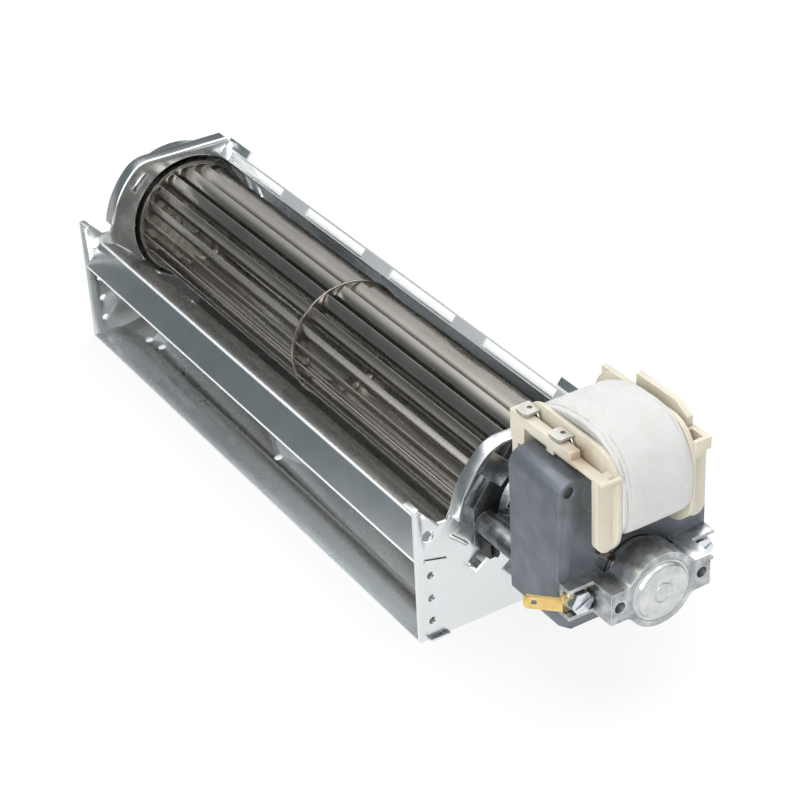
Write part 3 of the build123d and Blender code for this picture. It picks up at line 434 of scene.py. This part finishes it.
# piece: the same, after the finish's name
OWN_TONES = {
    # the rear bracket's darker tones are painted shade, for the end plate's shadow it stands in
    "rear_bracket": ("die_cast_shaded", (0.10, 0.105, 0.11), (0.30, 0.31, 0.32), 0.3, 0.5, 0.5),
    "bearing_cap": ("die_cast_cap", (0.56, 0.575, 0.58), (0.74, 0.75, 0.75), 0.34, 0.4),
    "terminal_tabs": ("tinned_brass", (0.50, 0.495, 0.45), (0.60, 0.595, 0.55), 0.5, 0.2),
    "coil_leads": ("soldered_wire", (0.6, 0.58, 0.52), (0.8, 0.78, 0.74), 0.16, 0.5),
    "core_rivets": ("dull_steel", (0.1, 0.1, 0.1), (0.2, 0.2, 0.2), 0.36, 0.5),
}
for slot, tones in CAST_TONES.items():
    keep(slot, cast_metal(slot, *tones))
for piece, tones in OWN_TONES.items():
    OWN_FINISH[piece] = cast_metal(*tones)
print("pieces with a finish of their own:", sorted(OWN_FINISH))

# %% [markdown]
# ## Lamination stack
# The motor's core is a stack of thin punched sheets, dark with oil. Some forty separate sheets would be a
# heavy model for a look of fine lines, so a sine along X draws the seams, a little noise keeps them from
# looking ruled, and the normal keeps them off the two broad faces, where a real stack shows none.

# %% Lamination stack
SHEET_PITCH = 0.65 * MM
SEAM_WOBBLE = 1.5       # radians


def laminations(name):
    mat, g, bsdf = start_material(name, Metallic=0.55)
    where = g.where()
    wobble = g.add("ShaderNodeTexNoise", Vector=where, Scale=60.0, Detail=2.0)
    phase = g.math("ADD", g.math("MULTIPLY", g.split(where)["X"], math.tau / SHEET_PITCH),
                   g.math("MULTIPLY", wobble.outputs["Fac"], SEAM_WOBBLE))
    seam = g.ramp(g.math("SINE", phase), 0.35, 1.0)     # the wave's crests alone
    facing = g.split(g.add("ShaderNodeNewGeometry").outputs["Normal"])
    side = g.ramp(g.math("ABSOLUTE", facing["X"]), 0.9, 0.6)    # nothing on a face that looks along X
    seam_here = g.math("MULTIPLY", seam, side)
    skin = use(g, CAST_SKIN, Scale=0.5).outputs
    wear = use(g, EDGE_WEAR, Radius=0.3 * MM).outputs[0]
    tone = g.mix(skin["Blotch"], colour(0.155, 0.173, 0.2), colour(0.2, 0.22, 0.248))
    seamed = g.mix(g.math("MULTIPLY", seam_here, 0.3), tone, colour(0.05, 0.053, 0.058))
    g.put(bsdf, "Base Color", g.mix(g.math("MULTIPLY", wear, 0.4), seamed, colour(0.5, 0.51, 0.52)))
    g.put(bsdf, "Roughness", g.ramp(skin["Blotch"], 0.0, 1.0, 0.5, 0.38))
    bump(g, bsdf, g.math("SUBTRACT", 1.0, seam_here), 0.35, 0.08 * MM)
    return mat


keep("core_laminations", laminations("core_laminations"))

# %% [markdown]
# ## Plastics and rubber
# The bobbin is moulded cream plastic, the clip black plastic, and the hub and bush are rubber. None is
# metallic; they differ in tone, gloss and the fineness of their skin, so they share one recipe.


# %% Plastics and rubber
def plastic(name, base, shade, roughness, grain_per_metre, grain):
    mat, g, bsdf = start_material(name)
    where = g.where()
    cloud = g.add("ShaderNodeTexNoise", Vector=where, Scale=70.0, Detail=3.0).outputs["Fac"]
    fine = g.add("ShaderNodeTexNoise", Vector=where, Scale=grain_per_metre, Detail=2.0).outputs["Fac"]
    wear = use(g, EDGE_WEAR, Radius=0.35 * MM).outputs[0]
    tone = g.mix(g.ramp(cloud, 0.35, 0.7), colour(*base), colour(*shade))
    lighter = g.mix(0.5, colour(*base), WHITE)
    g.put(bsdf, "Base Color", g.mix(g.math("MULTIPLY", wear, 0.25), tone, lighter))
    g.put(bsdf, "Roughness", g.ramp(fine, 0.3, 0.7, roughness, roughness + 0.12))
    bump(g, bsdf, fine, grain, 0.04 * MM)
    return mat, g, bsdf


PLASTICS = {}
for slot, recipe in {
    "cream_plastic": ((0.63, 0.59, 0.487), (0.60, 0.55, 0.44), 0.34, 1500.0, 0.15),
    "black_plastic": ((0.016, 0.016, 0.017), (0.024, 0.024, 0.025), 0.4, 1500.0, 0.2),
    "hub_rubber": ((0.02, 0.02, 0.02), (0.032, 0.031, 0.03), 0.62, 2200.0, 0.4),
}.items():
    PLASTICS[slot] = plastic(slot, *recipe)
    keep(slot, PLASTICS[slot][0])

# %% [markdown]
# ## The bobbin's glow and the painted shade in its trough
# Cream plastic lets a little light in, so it has some subsurface scattering, warmer the deeper it goes.
# In the trough under the tabs, by the coil's soldered lead, the cream is painted brown as the shade that
# falls there. It could be a mask drawn on a picture; here it is the distance from the joint, made ragged by
# noise, which needs no picture and stays sharp at any size.

# %% Bobbin
SOLDER_JOINT = (0.1665, 0.0262, 0.0815)
TROUGH_SHADE_REACH = 9.0 * MM
_, bobbin_graph, bobbin_shader = PLASTICS["cream_plastic"]
for socket, value in (("Weight", 0.25), ("Radius", (1.0, 0.7, 0.4)), ("Scale", 1.2 * MM)):
    bobbin_shader.inputs["Subsurface " + socket].default_value = value


def paint_trough_shade(g, bsdf, place, reach):
    """Painted shade, brown, round the soldered joint in the trough under the tabs, fading out with distance.
    """
    ragged = g.add("ShaderNodeTexNoise", Vector=g.where(), Scale=350.0, Detail=3.0).outputs["Fac"]
    spread = g.math("ADD", g.measure("DISTANCE", g.where(), place), g.math("MULTIPLY", ragged, 0.5 * reach))
    unshaded = bsdf.inputs["Base Color"].links[0].from_socket
    shade_amount = g.math("MULTIPLY", g.ramp(spread, 1.2 * reach, 0.35 * reach), 0.75)
    g.put(bsdf, "Base Color", g.mix(shade_amount, unshaded, colour(0.30, 0.17, 0.07)))


paint_trough_shade(bobbin_graph, bobbin_shader, SOLDER_JOINT, TROUGH_SHADE_REACH)
# how far the painted shade in the trough reaches
print("flux reaches in mm:", round(1.2 * TROUGH_SHADE_REACH / MM, 1))

# %% [markdown]
# ## Woven tape
# White cotton tape holds the coil. Its tone comes from the weave and a little soil, a sheen gives the fuzz
# of its threads, and shade is painted under each layer's edge from an attribute that the mesh carries, since
# only the mesh knows where its layers end.


# %% Woven tape
def woven_tape(name):
    mat, g, bsdf = start_material(name, Roughness=0.72, Sheen_Weight=0.25)
    weave = use(g, WEAVE, Threads=1.9).outputs
    tone = g.mix(weave["Soil"], colour(0.76, 0.755, 0.745), colour(0.71, 0.70, 0.68))
    woven = g.mix(weave["Weave"], g.mix(0.5, tone, colour(0.5, 0.5, 0.48)), tone)
    # painted shade: darker where the tape is steep, at each layer's edge
    crease = g.add("ShaderNodeAttribute", {"attribute_name": "crease"}).outputs["Fac"]
    g.put(bsdf, "Base Color", g.mix(g.math("MULTIPLY", crease, 0.75), woven, colour(0.36, 0.34, 0.31)))
    bump(g, bsdf, weave["Weave"], 0.9, 0.16 * MM)
    return mat


keep("white_tape", woven_tape("white_tape"))

# %% [markdown]
# ## Dress the solids
# Every solid takes the finish its slot in the record names, or its own. The solids arrive as loose
# triangles; three modifiers weld them, merge flat neighbours into whole faces and round the sharp edges a
# little, because a folded sheet or a casting never has a razor edge, and that thin highlight is what the
# eye reads as real. Modifiers leave the solids as they are underneath. Stamped tabs and small hidden
# parts stay sharp.

# %% Soft edges
EDGE_WIDTH_MM = {
    "scroll_sheet": 0.3, "stabiliser_sheet": 0.3, "motor_end_plate": 0.25, "far_end_plate": 0.25,
    "far_bearing_cup": 0.3, "rear_bracket": 0.5, "front_bracket": 0.55, "bearing_cap": 0.3, "bobbin": 0.35,
    "stator_core": 0.25, "coil_bar": 0.15, "earth_tab": 0.08, "motor_screws": 0.25,
    "wire_clip": 0.2, "core_rivets": 0.3, "rotor_end_rings": 0.3, "motor_end_disc": 0.15, "far_end_disc": 0.15,
    "support_ring": 0.1, "coupling_hub": 0.4,
}
SAME_POINT = 0.002 * MM
SAME_FACE_DEGREES = 0.6


def round_edges(obj, label, width_mm, sharper_than):
    """Round every edge that turns more than some degrees, and shade the rest smooth."""
    bevel = obj.modifiers.new(label, "BEVEL")
    bevel.width = width_mm * MM
    bevel.segments = 2
    bevel.limit_method = "ANGLE"
    bevel.angle_limit = math.radians(sharper_than)
    bevel.harden_normals = True
    obj.data.shade_smooth()


def soften(obj, width_mm):
    weld = obj.modifiers.new("weld", "WELD")
    weld.merge_threshold = SAME_POINT
    merge = obj.modifiers.new("flat faces", "DECIMATE")
    merge.decimate_type = "DISSOLVE"
    merge.angle_limit = math.radians(SAME_FACE_DEGREES)
    round_edges(obj, "soft edges", width_mm, 30)


print("edges in mm, finest and widest:", min(EDGE_WIDTH_MM.values()), max(EDGE_WIDTH_MM.values()))

# %% Dress the solids
SLOTS = {entry["node"]: entry["material_slot"] for entry in frame["record"]["subparts"]}
for name, node in NODES.items():
    node.data.materials.clear()
    node.data.materials.append(OWN_FINISH.get(name, MATERIALS[SLOTS[name]]))
    if name in EDGE_WIDTH_MM:
        soften(node, EDGE_WIDTH_MM[name])
print("dressed:", len(NODES), "softened:", len(EDGE_WIDTH_MM))

# %% [markdown]
# ## The wheel's blades
# Twenty thin curved blades run the length of the wheel. They could be modelled once and arrayed by hand,
# but they repeat by a rule, so Geometry Nodes builds them from it: a flat grid is bent to the blade's
# section, thickened, and put round the axis by instances. The rule's numbers are named inputs. The
# result is turned into one plain mesh, which takes the place of the solid blades.

# %% Geometry helpers
AXIS = Vector((0, 0.0421, 0.039))


def geometry_tree(name, inputs):
    """An empty geometry node tree with named inputs and one geometry output."""
    tree = bpy.data.node_groups.new(name, "GeometryNodeTree")
    for label, kind in inputs.items():
        tree.interface.new_socket(label, in_out="INPUT", socket_type=kind)
    tree.interface.new_socket("Geometry", in_out="OUTPUT", socket_type="NodeSocketGeometry")
    return Graph(tree), tree.nodes.new("NodeGroupInput"), tree.nodes.new("NodeGroupOutput")


def mix_points(g, factor, a, b):
    """A point between two others; the Mix node keeps its vector inputs at numbers 4 and 5."""
    node = g.add("ShaderNodeMix", {"data_type": "VECTOR", "clamp_factor": False})
    for index, value in ((0, factor), (4, a), (5, b)):
        g.put(node, index, value)
    return node.outputs[1]


def made_by_nodes(name, tree, settings):
    """Run a node tree on an empty mesh and keep the result as a plain mesh object."""
    carrier = bpy.data.objects.new(name, bpy.data.meshes.new(name))
    scene.collection.objects.link(carrier)
    modifier = carrier.modifiers.new("nodes", "NODES")
    modifier.node_group = tree
    sockets = {item.name: item.identifier for item in tree.interface.items_tree if item.in_out == "INPUT"}
    for label, value in settings.items():
        modifier[sockets[label]] = value
    depsgraph = bpy.context.evaluated_depsgraph_get()
    mesh = bpy.data.meshes.new_from_object(carrier.evaluated_get(depsgraph), depsgraph=depsgraph)
    carrier.modifiers.remove(modifier)
    carrier.data = mesh
    return carrier


print("wheel axis in mm:", [round(c / MM, 1) for c in AXIS])

# %% A bent sheet by nodes
POINTS_ALONG, POINTS_ACROSS = 30, 13


def bent_sheet(g, given):
    """A flat grid of unit size, stretched along X and bent to the blade's section."""
    grid = g.add("GeometryNodeMeshGrid", Size_X=1.0, Size_Y=1.0, Vertices_X=POINTS_ALONG,
                 Vertices_Y=POINTS_ACROSS)
    place = g.split(g.add("GeometryNodeInputPosition").outputs[0])
    from_end = g.math("MULTIPLY", g.math("ADD", place["X"], 0.5), given["Length"])
    along = g.add("ShaderNodeCombineXYZ", X=g.math("ADD", from_end, given["Start"]))
    across = g.math("ADD", place["Y"], 0.5)
    # a quadratic curve from the tip over the bow to the root
    section = mix_points(g, across, mix_points(g, across, given["Tip"], given["Bow"]),
                         mix_points(g, across, given["Bow"], given["Root"]))
    bent = g.add("ShaderNodeVectorMath", {"operation": "ADD"})
    g.put(bent, 0, section)
    g.put(bent, 1, along.outputs[0])
    return g.add("GeometryNodeSetPosition", Geometry=grid.outputs["Mesh"], Position=bent.outputs[0]).outputs[0]


print("points in the sheet of one blade:", POINTS_ALONG * POINTS_ACROSS)

# %% [markdown]
# ## From a sheet to a ring of blades
# A sheet without thickness looks like paper, so it is extruded to the real gauge and closed at the back.
# One blade is then set on twenty points that all lie on the axis, and each copy is turned by its own
# number in the row, which keeps the steps equal however many blades there are.


# %% The blade tree
def thickened(g, sheet, thickness):
    """Half the thickness to each side of a sheet, closed all round."""
    half_down = g.add("ShaderNodeVectorMath", {"operation": "SCALE"},
                      Scale=g.math("MULTIPLY", thickness, -0.5))
    g.put(half_down, 0, g.add("GeometryNodeInputNormal").outputs[0])
    lower = g.add("GeometryNodeSetPosition", Geometry=sheet, Offset=half_down.outputs[0]).outputs[0]
    upper = g.add("GeometryNodeExtrudeMesh", Mesh=lower, Offset_Scale=thickness, Individual=False)
    back = g.add("GeometryNodeFlipFaces", Mesh=lower)
    both = g.add("GeometryNodeJoinGeometry")
    for half in (upper, back):
        g.tree.links.new(half.outputs["Mesh"], both.inputs[0])
    return g.add("GeometryNodeMergeByDistance", Geometry=both.outputs[0], Distance=0.01 * MM).outputs[0]


def round_the_axis(g, blade, given):
    """Instances of one blade, turned round X by equal steps and moved to the wheel's axis."""
    spots = g.add("GeometryNodeMeshLine", Count=given["Count"], Offset=(0.0, 0.0, 0.0))
    step = g.math("DIVIDE", g.add("GeometryNodeInputIndex").outputs[0], given["Count"])
    turn = g.add("ShaderNodeCombineXYZ", X=g.math("MULTIPLY", step, math.tau))
    ring = g.add("GeometryNodeInstanceOnPoints", Points=spots.outputs[0], Instance=blade,
                 Rotation=turn.outputs[0])
    return g.add("GeometryNodeTransform", Geometry=ring.outputs[0], Translation=given["Axis"]).outputs[0]


def blade_tree():
    g, gin, gout = geometry_tree("blade_ring", {
        "Count": "NodeSocketInt", "Start": FLOAT, "Length": FLOAT, "Thickness": FLOAT, "Tip": VECTOR,
        "Bow": VECTOR, "Root": VECTOR, "Axis": VECTOR, "Material": "NodeSocketMaterial"})
    given = gin.outputs
    blade = thickened(g, bent_sheet(g, given), given["Thickness"])
    real = g.add("GeometryNodeRealizeInstances", Geometry=round_the_axis(g, blade, given))
    painted = g.add("GeometryNodeSetMaterial", Geometry=real.outputs[0], Material=given["Material"])
    g.put(gout, "Geometry", painted.outputs[0])
    return g.tree


BLADE_TREE = blade_tree()
print("nodes in the blade tree:", len(BLADE_TREE.nodes))

# %% [markdown]
# ## The blades as one mesh
# The section is a shallow arc between the wheel's outer and inner circle. Its belly, the point the arc
# passes through, is easy to measure, so the curve's middle handle is worked out from it. The ends are
# rolled a little, as sheet cut on a press is.

# %% The blades as one mesh
BLADE_COUNT = 20
BLADE_TIP_R = 22.7 * MM
BLADE_ROOT_R = 18.2 * MM
BLADE_LEAN = math.radians(13.0)
BLADE_ENDS = (-122.1 * MM, 120.9 * MM)
BLADE_THICKNESS = 0.5 * MM
BELLY_OUT = 0.35 * MM       # how far the arc stands outside the middle radius
BELLY_TURN = 0.72           # its share of the lean
ROLLED_EDGE_MM = 0.14


def about_axis(radius, angle):
    return Vector((0, radius * math.cos(angle), radius * math.sin(angle)))


tip = about_axis(BLADE_TIP_R, 0)
root = about_axis(BLADE_ROOT_R, BLADE_LEAN)
belly = about_axis((BLADE_TIP_R + BLADE_ROOT_R) / 2 + BELLY_OUT, BLADE_LEAN * BELLY_TURN)
blades = made_by_nodes("wheel_blades", BLADE_TREE, {
    "Count": BLADE_COUNT, "Start": BLADE_ENDS[0], "Length": BLADE_ENDS[1] - BLADE_ENDS[0],
    "Thickness": BLADE_THICKNESS, "Tip": tip, "Bow": 2 * belly - (tip + root) / 2, "Root": root,
    "Axis": AXIS, "Material": MATERIALS["wheel_metal"]})
round_edges(blades, "rolled edges", ROLLED_EDGE_MM, 50)
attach(blades, "rotor")
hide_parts("impeller_blades")
print("blade faces:", len(blades.data.polygons))

# %% [markdown]
# ## The taped winding
# The coil is wound with white woven tape in layers. A ring could be modelled and sculpted by hand, but it
# would then have to be fitted to the coil. Here its outline is read from the solid winding in the frame,
# put at even steps and smoothed a little, so the tape lies exactly where the solid has its surface.

# %% Outline of the winding
AROUND = 260                    # steps round the coil
CAP_DEPTH = 0.02 * MM           # points this close to the front belong to the front cap
WINDOW_X = (0.1441, 0.1724)     # a box round the coil's inner window, in the frame
WINDOW_Z = (0.0634, 0.0792)
SMOOTHING_ROUNDS = 3


def in_window(p):
    return WINDOW_X[0] < p[0] < WINDOW_X[1] and WINDOW_Z[0] < p[1] < WINDOW_Z[1]


def at_even_steps(points, count):
    """The same closed line with its points spread evenly, and its length."""
    lengths = [(points[(i + 1) % len(points)] - points[i]).length for i in range(len(points))]
    total = sum(lengths)
    even = []
    i, gone = 0, 0.0
    for k in range(count):
        target = total * k / count
        while gone + lengths[i] < target:
            gone += lengths[i]
            i += 1
        even.append(points[i].lerp(points[(i + 1) % len(points)], (target - gone) / lengths[i]))
    return even, total


def outline_of(node_name, count):
    """Closed outline of a solid's front cap, at even steps: (x, z) in metres."""
    mesh = NODES[node_name].data
    front = min(v.co.y for v in mesh.vertices)
    cap = {(round(v.co.x, 6), round(v.co.z, 6)) for v in mesh.vertices if v.co.y < front + CAP_DEPTH}
    outer = [p for p in cap if not in_window(p)]
    middle = Vector((sum(p[0] for p in outer) / len(outer), sum(p[1] for p in outer) / len(outer)))
    outer.sort(key=lambda p: math.atan2(p[1] - middle.y, p[0] - middle.x))
    return at_even_steps([Vector(p) for p in outer], count)


coil_line, coil_length = outline_of("coil_winding", AROUND)
for _ in range(SMOOTHING_ROUNDS):
    coil_line = [(coil_line[i - 1] + 2 * p + coil_line[(i + 1) % AROUND]) / 4 for i, p in enumerate(coil_line)]
print("outline length in mm:", round(coil_length / MM, 1))

# %% [markdown]
# ## Layers and folds of the tape
# Each layer of tape ends in an edge that wanders a little, and the cloth puckers beside it. The height of
# the tape under the solid's surface is a formula: a smooth step down at each layer's edge, which noise
# moves to and fro, then folds, a fine flutter and a slow sag. The edges are real steps in the mesh, so
# they cast their own shade. Noise that depends only on the place gives the same tape every time.

# %% Height of the tape
COIL_HALF = 12.8        # half the coil's width in mm
RIM = 0.5               # mm over which the tape rolls over at each side
TAPE_UNDER = 0.12       # mm that the top layer lies under the solid's surface
LOW_EDGE, TOP_EDGE, RIGHT_EDGE = -11.5, -10.1, 11.4     # mm across the tape where each layer ends
LOW_DROP, TOP_DROP, RIGHT_DROP = 0.42, 0.32, 0.4        # mm down to the layer below
LEFT_SOFT, RIGHT_SOFT = 0.07, 0.09                      # mm over which such an edge rolls down


def wander(s, per_mm, lane):
    """A smooth random line along the tape, about -1 to 1; each lane gives another line."""
    return noise.noise(Vector((s * per_mm, lane, 0.0)))


def layer_edge(inside, drop, softness):
    """A smooth step, in mm: no drop well inside the layer, and all of it beyond the edge."""
    return drop / (1 + math.exp(inside / softness))


def fold_depth(y, s, where):
    """Small folds that run in from the edges, and a slow sag between them."""
    near_edge = math.exp(-((y - 12.0) / 4.5) ** 2) + 0.6 * math.exp(-((y + 12.0) / 3.0) ** 2)
    folds = noise.noise(Vector((s * 0.32 + 0.25 * y, y * 0.12, 5.0)))
    fine = noise.noise(Vector((s * 0.9, y * 0.5, 2.0)))
    slow = noise.noise(Vector((where.x * 60, y * 0.09, where.y * 60)))
    return 0.22 * near_edge * (0.5 + folds) + 0.03 * fine + 0.16 * (0.5 + 0.5 * slow)


def tape_height(y, s, where):
    """How far the tape lies under the solid's surface, in mm, at a place across and along it."""
    wave = wander(s, 0.11, 3.1)
    flutter = wander(s, 0.5, 8.3)
    left_low = LOW_EDGE + 0.5 * wave + 0.12 * flutter
    left_top = TOP_EDGE + 0.55 * wander(s, 0.09, 12.7) + 0.15 * flutter
    right_top = RIGHT_EDGE + 0.35 * wave
    depth = TAPE_UNDER
    depth += layer_edge(y - left_low, LOW_DROP, LEFT_SOFT)
    depth += layer_edge(y - left_top, TOP_DROP, LEFT_SOFT)
    depth += layer_edge(right_top - y, RIGHT_DROP, RIGHT_SOFT)
    depth += fold_depth(y, s, where)
    over_rim = max(0.0, abs(y) - (COIL_HALF - RIM)) / RIM
    return depth + RIM * (1 - math.sqrt(max(0.0, 1 - over_rim * over_rim)))


print("tape under the surface at its middle, in mm:", round(tape_height(0.0, 0.0, coil_line[0]), 2))

# %% [markdown]
# ## The tape as a mesh
# The mesh is a closed band: at each step round the outline it carries a column of points across the tape,
# close together where a layer ends, and two plain points inside. Its UV runs in millimetres along and
# across the tape, for the weave, and an attribute says how steep the tape is at each point, for painted shade.

# %% Columns of points
ACROSS_MM = [-12.8, -12.75, -12.6, -12.2, -11.9, -11.85, -11.8, -11.4, -11.0, -10.6, -10.55, -10.5]
ACROSS_MM += [-10.2 + 0.5 * i for i in range(42)]
ACROSS_MM += [10.7, 10.75, 11.2, 11.8, 11.85, 11.9, 12.3, 12.6, 12.75, 12.8]
WALL_MM = 4.0
STEP_MM = coil_length / AROUND / MM
COIL_MIDDLE = sum(coil_line, Vector((0, 0))) / AROUND
EDGE_SHADE_REACH = 0.08     # mm to each side over which the slope is taken
EDGE_SHADE_FROM = 0.35      # a gentler slope gets no painted shade
EDGE_SHADE_MARGIN = 0.6     # mm at each rim, where the tape rolls over, that get no painted shade


# how much painted shade the tape gets at a point: more where it is steep
def crease_at(y, s, where):
    if abs(y) >= COIL_HALF - EDGE_SHADE_MARGIN:
        return 0.0
    rise = tape_height(y + EDGE_SHADE_REACH, s, where) - tape_height(y - EDGE_SHADE_REACH, s, where)
    return min(1.0, max(0.0, abs(rise) / (2 * EDGE_SHADE_REACH) - EDGE_SHADE_FROM))


def tape_column(bm, crease, i, p):
    """The points at one step: across the tape, then the two inside it."""
    ahead = coil_line[(i + 1) % AROUND] - coil_line[i - 1]
    out = Vector((ahead.y, -ahead.x)).normalized()
    if out.dot(p - COIL_MIDDLE) < 0:
        out = -out
    s = i * STEP_MM
    column = [(y, tape_height(y, s, p)) for y in ACROSS_MM] + [(y, WALL_MM) for y in (COIL_HALF, -COIL_HALF)]
    spots = [(p - out * depth * MM, y) for y, depth in column]
    row = [bm.verts.new((spot.x, AXIS.y + y * MM, spot.y)) for spot, y in spots]
    for vert, y in zip(row, ACROSS_MM):
        vert[crease] = crease_at(y, s, p)
    return row


print("steps:", AROUND, "of mm:", round(STEP_MM, 2), "points in each:", len(ACROSS_MM) + 2)


# %% The tape as a mesh
def build_tape():
    mesh = bpy.data.meshes.new("coil_tape")
    bm = bmesh.new()
    uv = bm.loops.layers.uv.new("tape")
    crease = bm.verts.layers.float.new("crease")
    rows = [tape_column(bm, crease, i, p) for i, p in enumerate(coil_line)]
    wide = len(rows[0])
    for i in range(AROUND):
        here, there = rows[i], rows[(i + 1) % AROUND]
        for j in range(wide):
            k = (j + 1) % wide
            face = bm.faces.new((here[j], here[k], there[k], there[j]))
            face.smooth = True
            for loop, (u, v) in zip(face.loops, ((i, j), (i, k), (i + 1, k), (i + 1, j))):
                loop[uv].uv = (u * STEP_MM, ACROSS_MM[v] if v < len(ACROSS_MM) else 0.0)
    bmesh.ops.recalc_face_normals(bm, faces=bm.faces)
    bm.to_mesh(mesh)
    bm.free()
    mesh.materials.append(MATERIALS["white_tape"])
    return bpy.data.objects.new("coil_tape", mesh)


tape = build_tape()
scene.collection.objects.link(tape)
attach(tape, "housing")
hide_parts("coil_winding")
print("tape faces:", len(tape.data.polygons))

# %% [markdown]
# ## Floor
# The fan stands on a white table. A white floor alone turns grey away from the lamps, so a glow is mixed
# in where the camera or a reflection sees it, and only there: it casts no light on the fan, and the
# floor keeps the fan's shadow. In reflections the glow falls off towards the front, where the housing
# would otherwise mirror a white table without any edge to it.

# %% Floor
FLOOR_HALF = 4.0
FLOOR_GAP = 0.05 * MM       # so that the fan's lowest faces don't lie in the floor
GLOW_SHARE = 0.8
DIM_FROM, DIM_TO, DIM_GLOW = 0.02, -0.12, 0.2       # metres towards the front; the glow left there
DIM_SLANT = 0.35


def stage_material():
    mat, g, bsdf = start_material("table_white", Base_Color=colour(0.9, 0.9, 0.9), Roughness=0.6)
    out = bsdf.outputs[0].links[0].to_node
    seen_by = g.add("ShaderNodeLightPath").outputs
    seen = g.math("MAXIMUM", seen_by["Is Camera Ray"],
                  g.math("MAXIMUM", seen_by["Is Glossy Ray"], seen_by["Is Transmission Ray"]))
    place = g.split(g.where())
    ahead = g.math("ADD", place["Y"], g.math("MULTIPLY", place["X"], DIM_SLANT))
    mirrored = g.ramp(ahead, DIM_TO, DIM_FROM, DIM_GLOW, 1.0)
    glow = g.add("ShaderNodeEmission", Color=WHITE,
                 Strength=g.math("MAXIMUM", seen_by["Is Camera Ray"], mirrored))
    table = g.add("ShaderNodeMixShader")
    for index, value in enumerate((g.math("MULTIPLY", seen, GLOW_SHARE), bsdf.outputs[0], glow.outputs[0])):
        g.put(table, index, value)
    g.put(out, "Surface", table.outputs[0])
    return mat


floor_mesh = bpy.data.meshes.new("floor")
corners = [(x * FLOOR_HALF, y * FLOOR_HALF, 0) for x, y in ((-1, -1), (1, -1), (1, 1), (-1, 1))]
floor_mesh.from_pydata(corners, [], [(0, 1, 2, 3)])
floor_mesh.materials.append(stage_material())
floor = bpy.data.objects.new("floor", floor_mesh)
floor.location.z = -FLOOR_GAP
scene.collection.objects.link(floor)
print("floor in metres:", 2 * FLOOR_HALF)

# %% [markdown]
# ## Lamps
# A product is lit with large soft boxes, whose wide edges give metal its slow gradients. A sun or a spot
# would cut hard shadows into the wheel. One box hangs above, a second stands in front, to the left of
# the camera, and a third behind lights the rims.

# %% Lamps
AIM = Vector((0, 0.03, 0.04))
SOFT_BOXES = {      # place in metres, width and height in metres, watts
    "top_softbox": ((-0.1, 0.1, 1.3), (1.6, 1.2), 11.0),
    "front_softbox": ((0.75, -1.1, 0.8), (0.9, 0.9), 13.0),
    "back_softbox": ((-0.4, 1.2, 0.9), (1.4, 0.7), 9.0),
}


def soft_lamp(name, place, size, watts):
    data = bpy.data.lights.new(name, "AREA")
    data.shape = "RECTANGLE"
    data.size, data.size_y = size
    data.energy = watts
    lamp = bpy.data.objects.new(name, data)
    lamp.location = place
    lamp.rotation_mode = "QUATERNION"
    lamp.rotation_quaternion = (AIM - Vector(place)).to_track_quat("-Z", "Y")
    scene.collection.objects.link(lamp)


for name, box in SOFT_BOXES.items():
    soft_lamp(name, *box)

# %% [markdown]
# ## Background
# The room is white to the camera and gives plain, slightly cool light. Metal in an all-white room looks
# like paper, so in reflections the room is grey near the horizon and at the front left, and white above,
# as in a studio with black cards. Light Path tells the three uses apart.

# %% World
DARK_SIDE = Vector((-0.74, -0.6, 0.26)).normalized()
ROOM_GREY = colour(0.125, 0.15, 0.16)
ROOM_LIGHT = colour(0.55, 0.56, 0.57)


def studio_world():
    world = bpy.data.worlds.new("studio")
    world.use_nodes = True
    world.node_tree.nodes.clear()
    g = Graph(world.node_tree)
    seen_by = g.add("ShaderNodeLightPath").outputs
    direction = g.where("Generated")
    above = g.ramp(g.split(direction)["Z"], 0.34, 0.72)
    off_dark_side = g.ramp(g.measure("DOT_PRODUCT", direction, DARK_SIDE), 0.95, 0.8)
    mirrored = g.mix(g.math("MULTIPLY", above, off_dark_side), ROOM_GREY, WHITE)
    ambient = g.mix(seen_by["Is Glossy Ray"], ROOM_LIGHT, mirrored)
    seen = g.math("MAXIMUM", seen_by["Is Camera Ray"], seen_by["Is Transmission Ray"])
    back = g.add("ShaderNodeBackground", Color=g.mix(seen, ambient, WHITE), Strength=1.0)
    g.add("ShaderNodeOutputWorld", Surface=back.outputs[0])
    return world


scene.world = studio_world()
scene.view_settings.view_transform = "Standard"
print("world:", scene.world.name)

# %% [markdown]
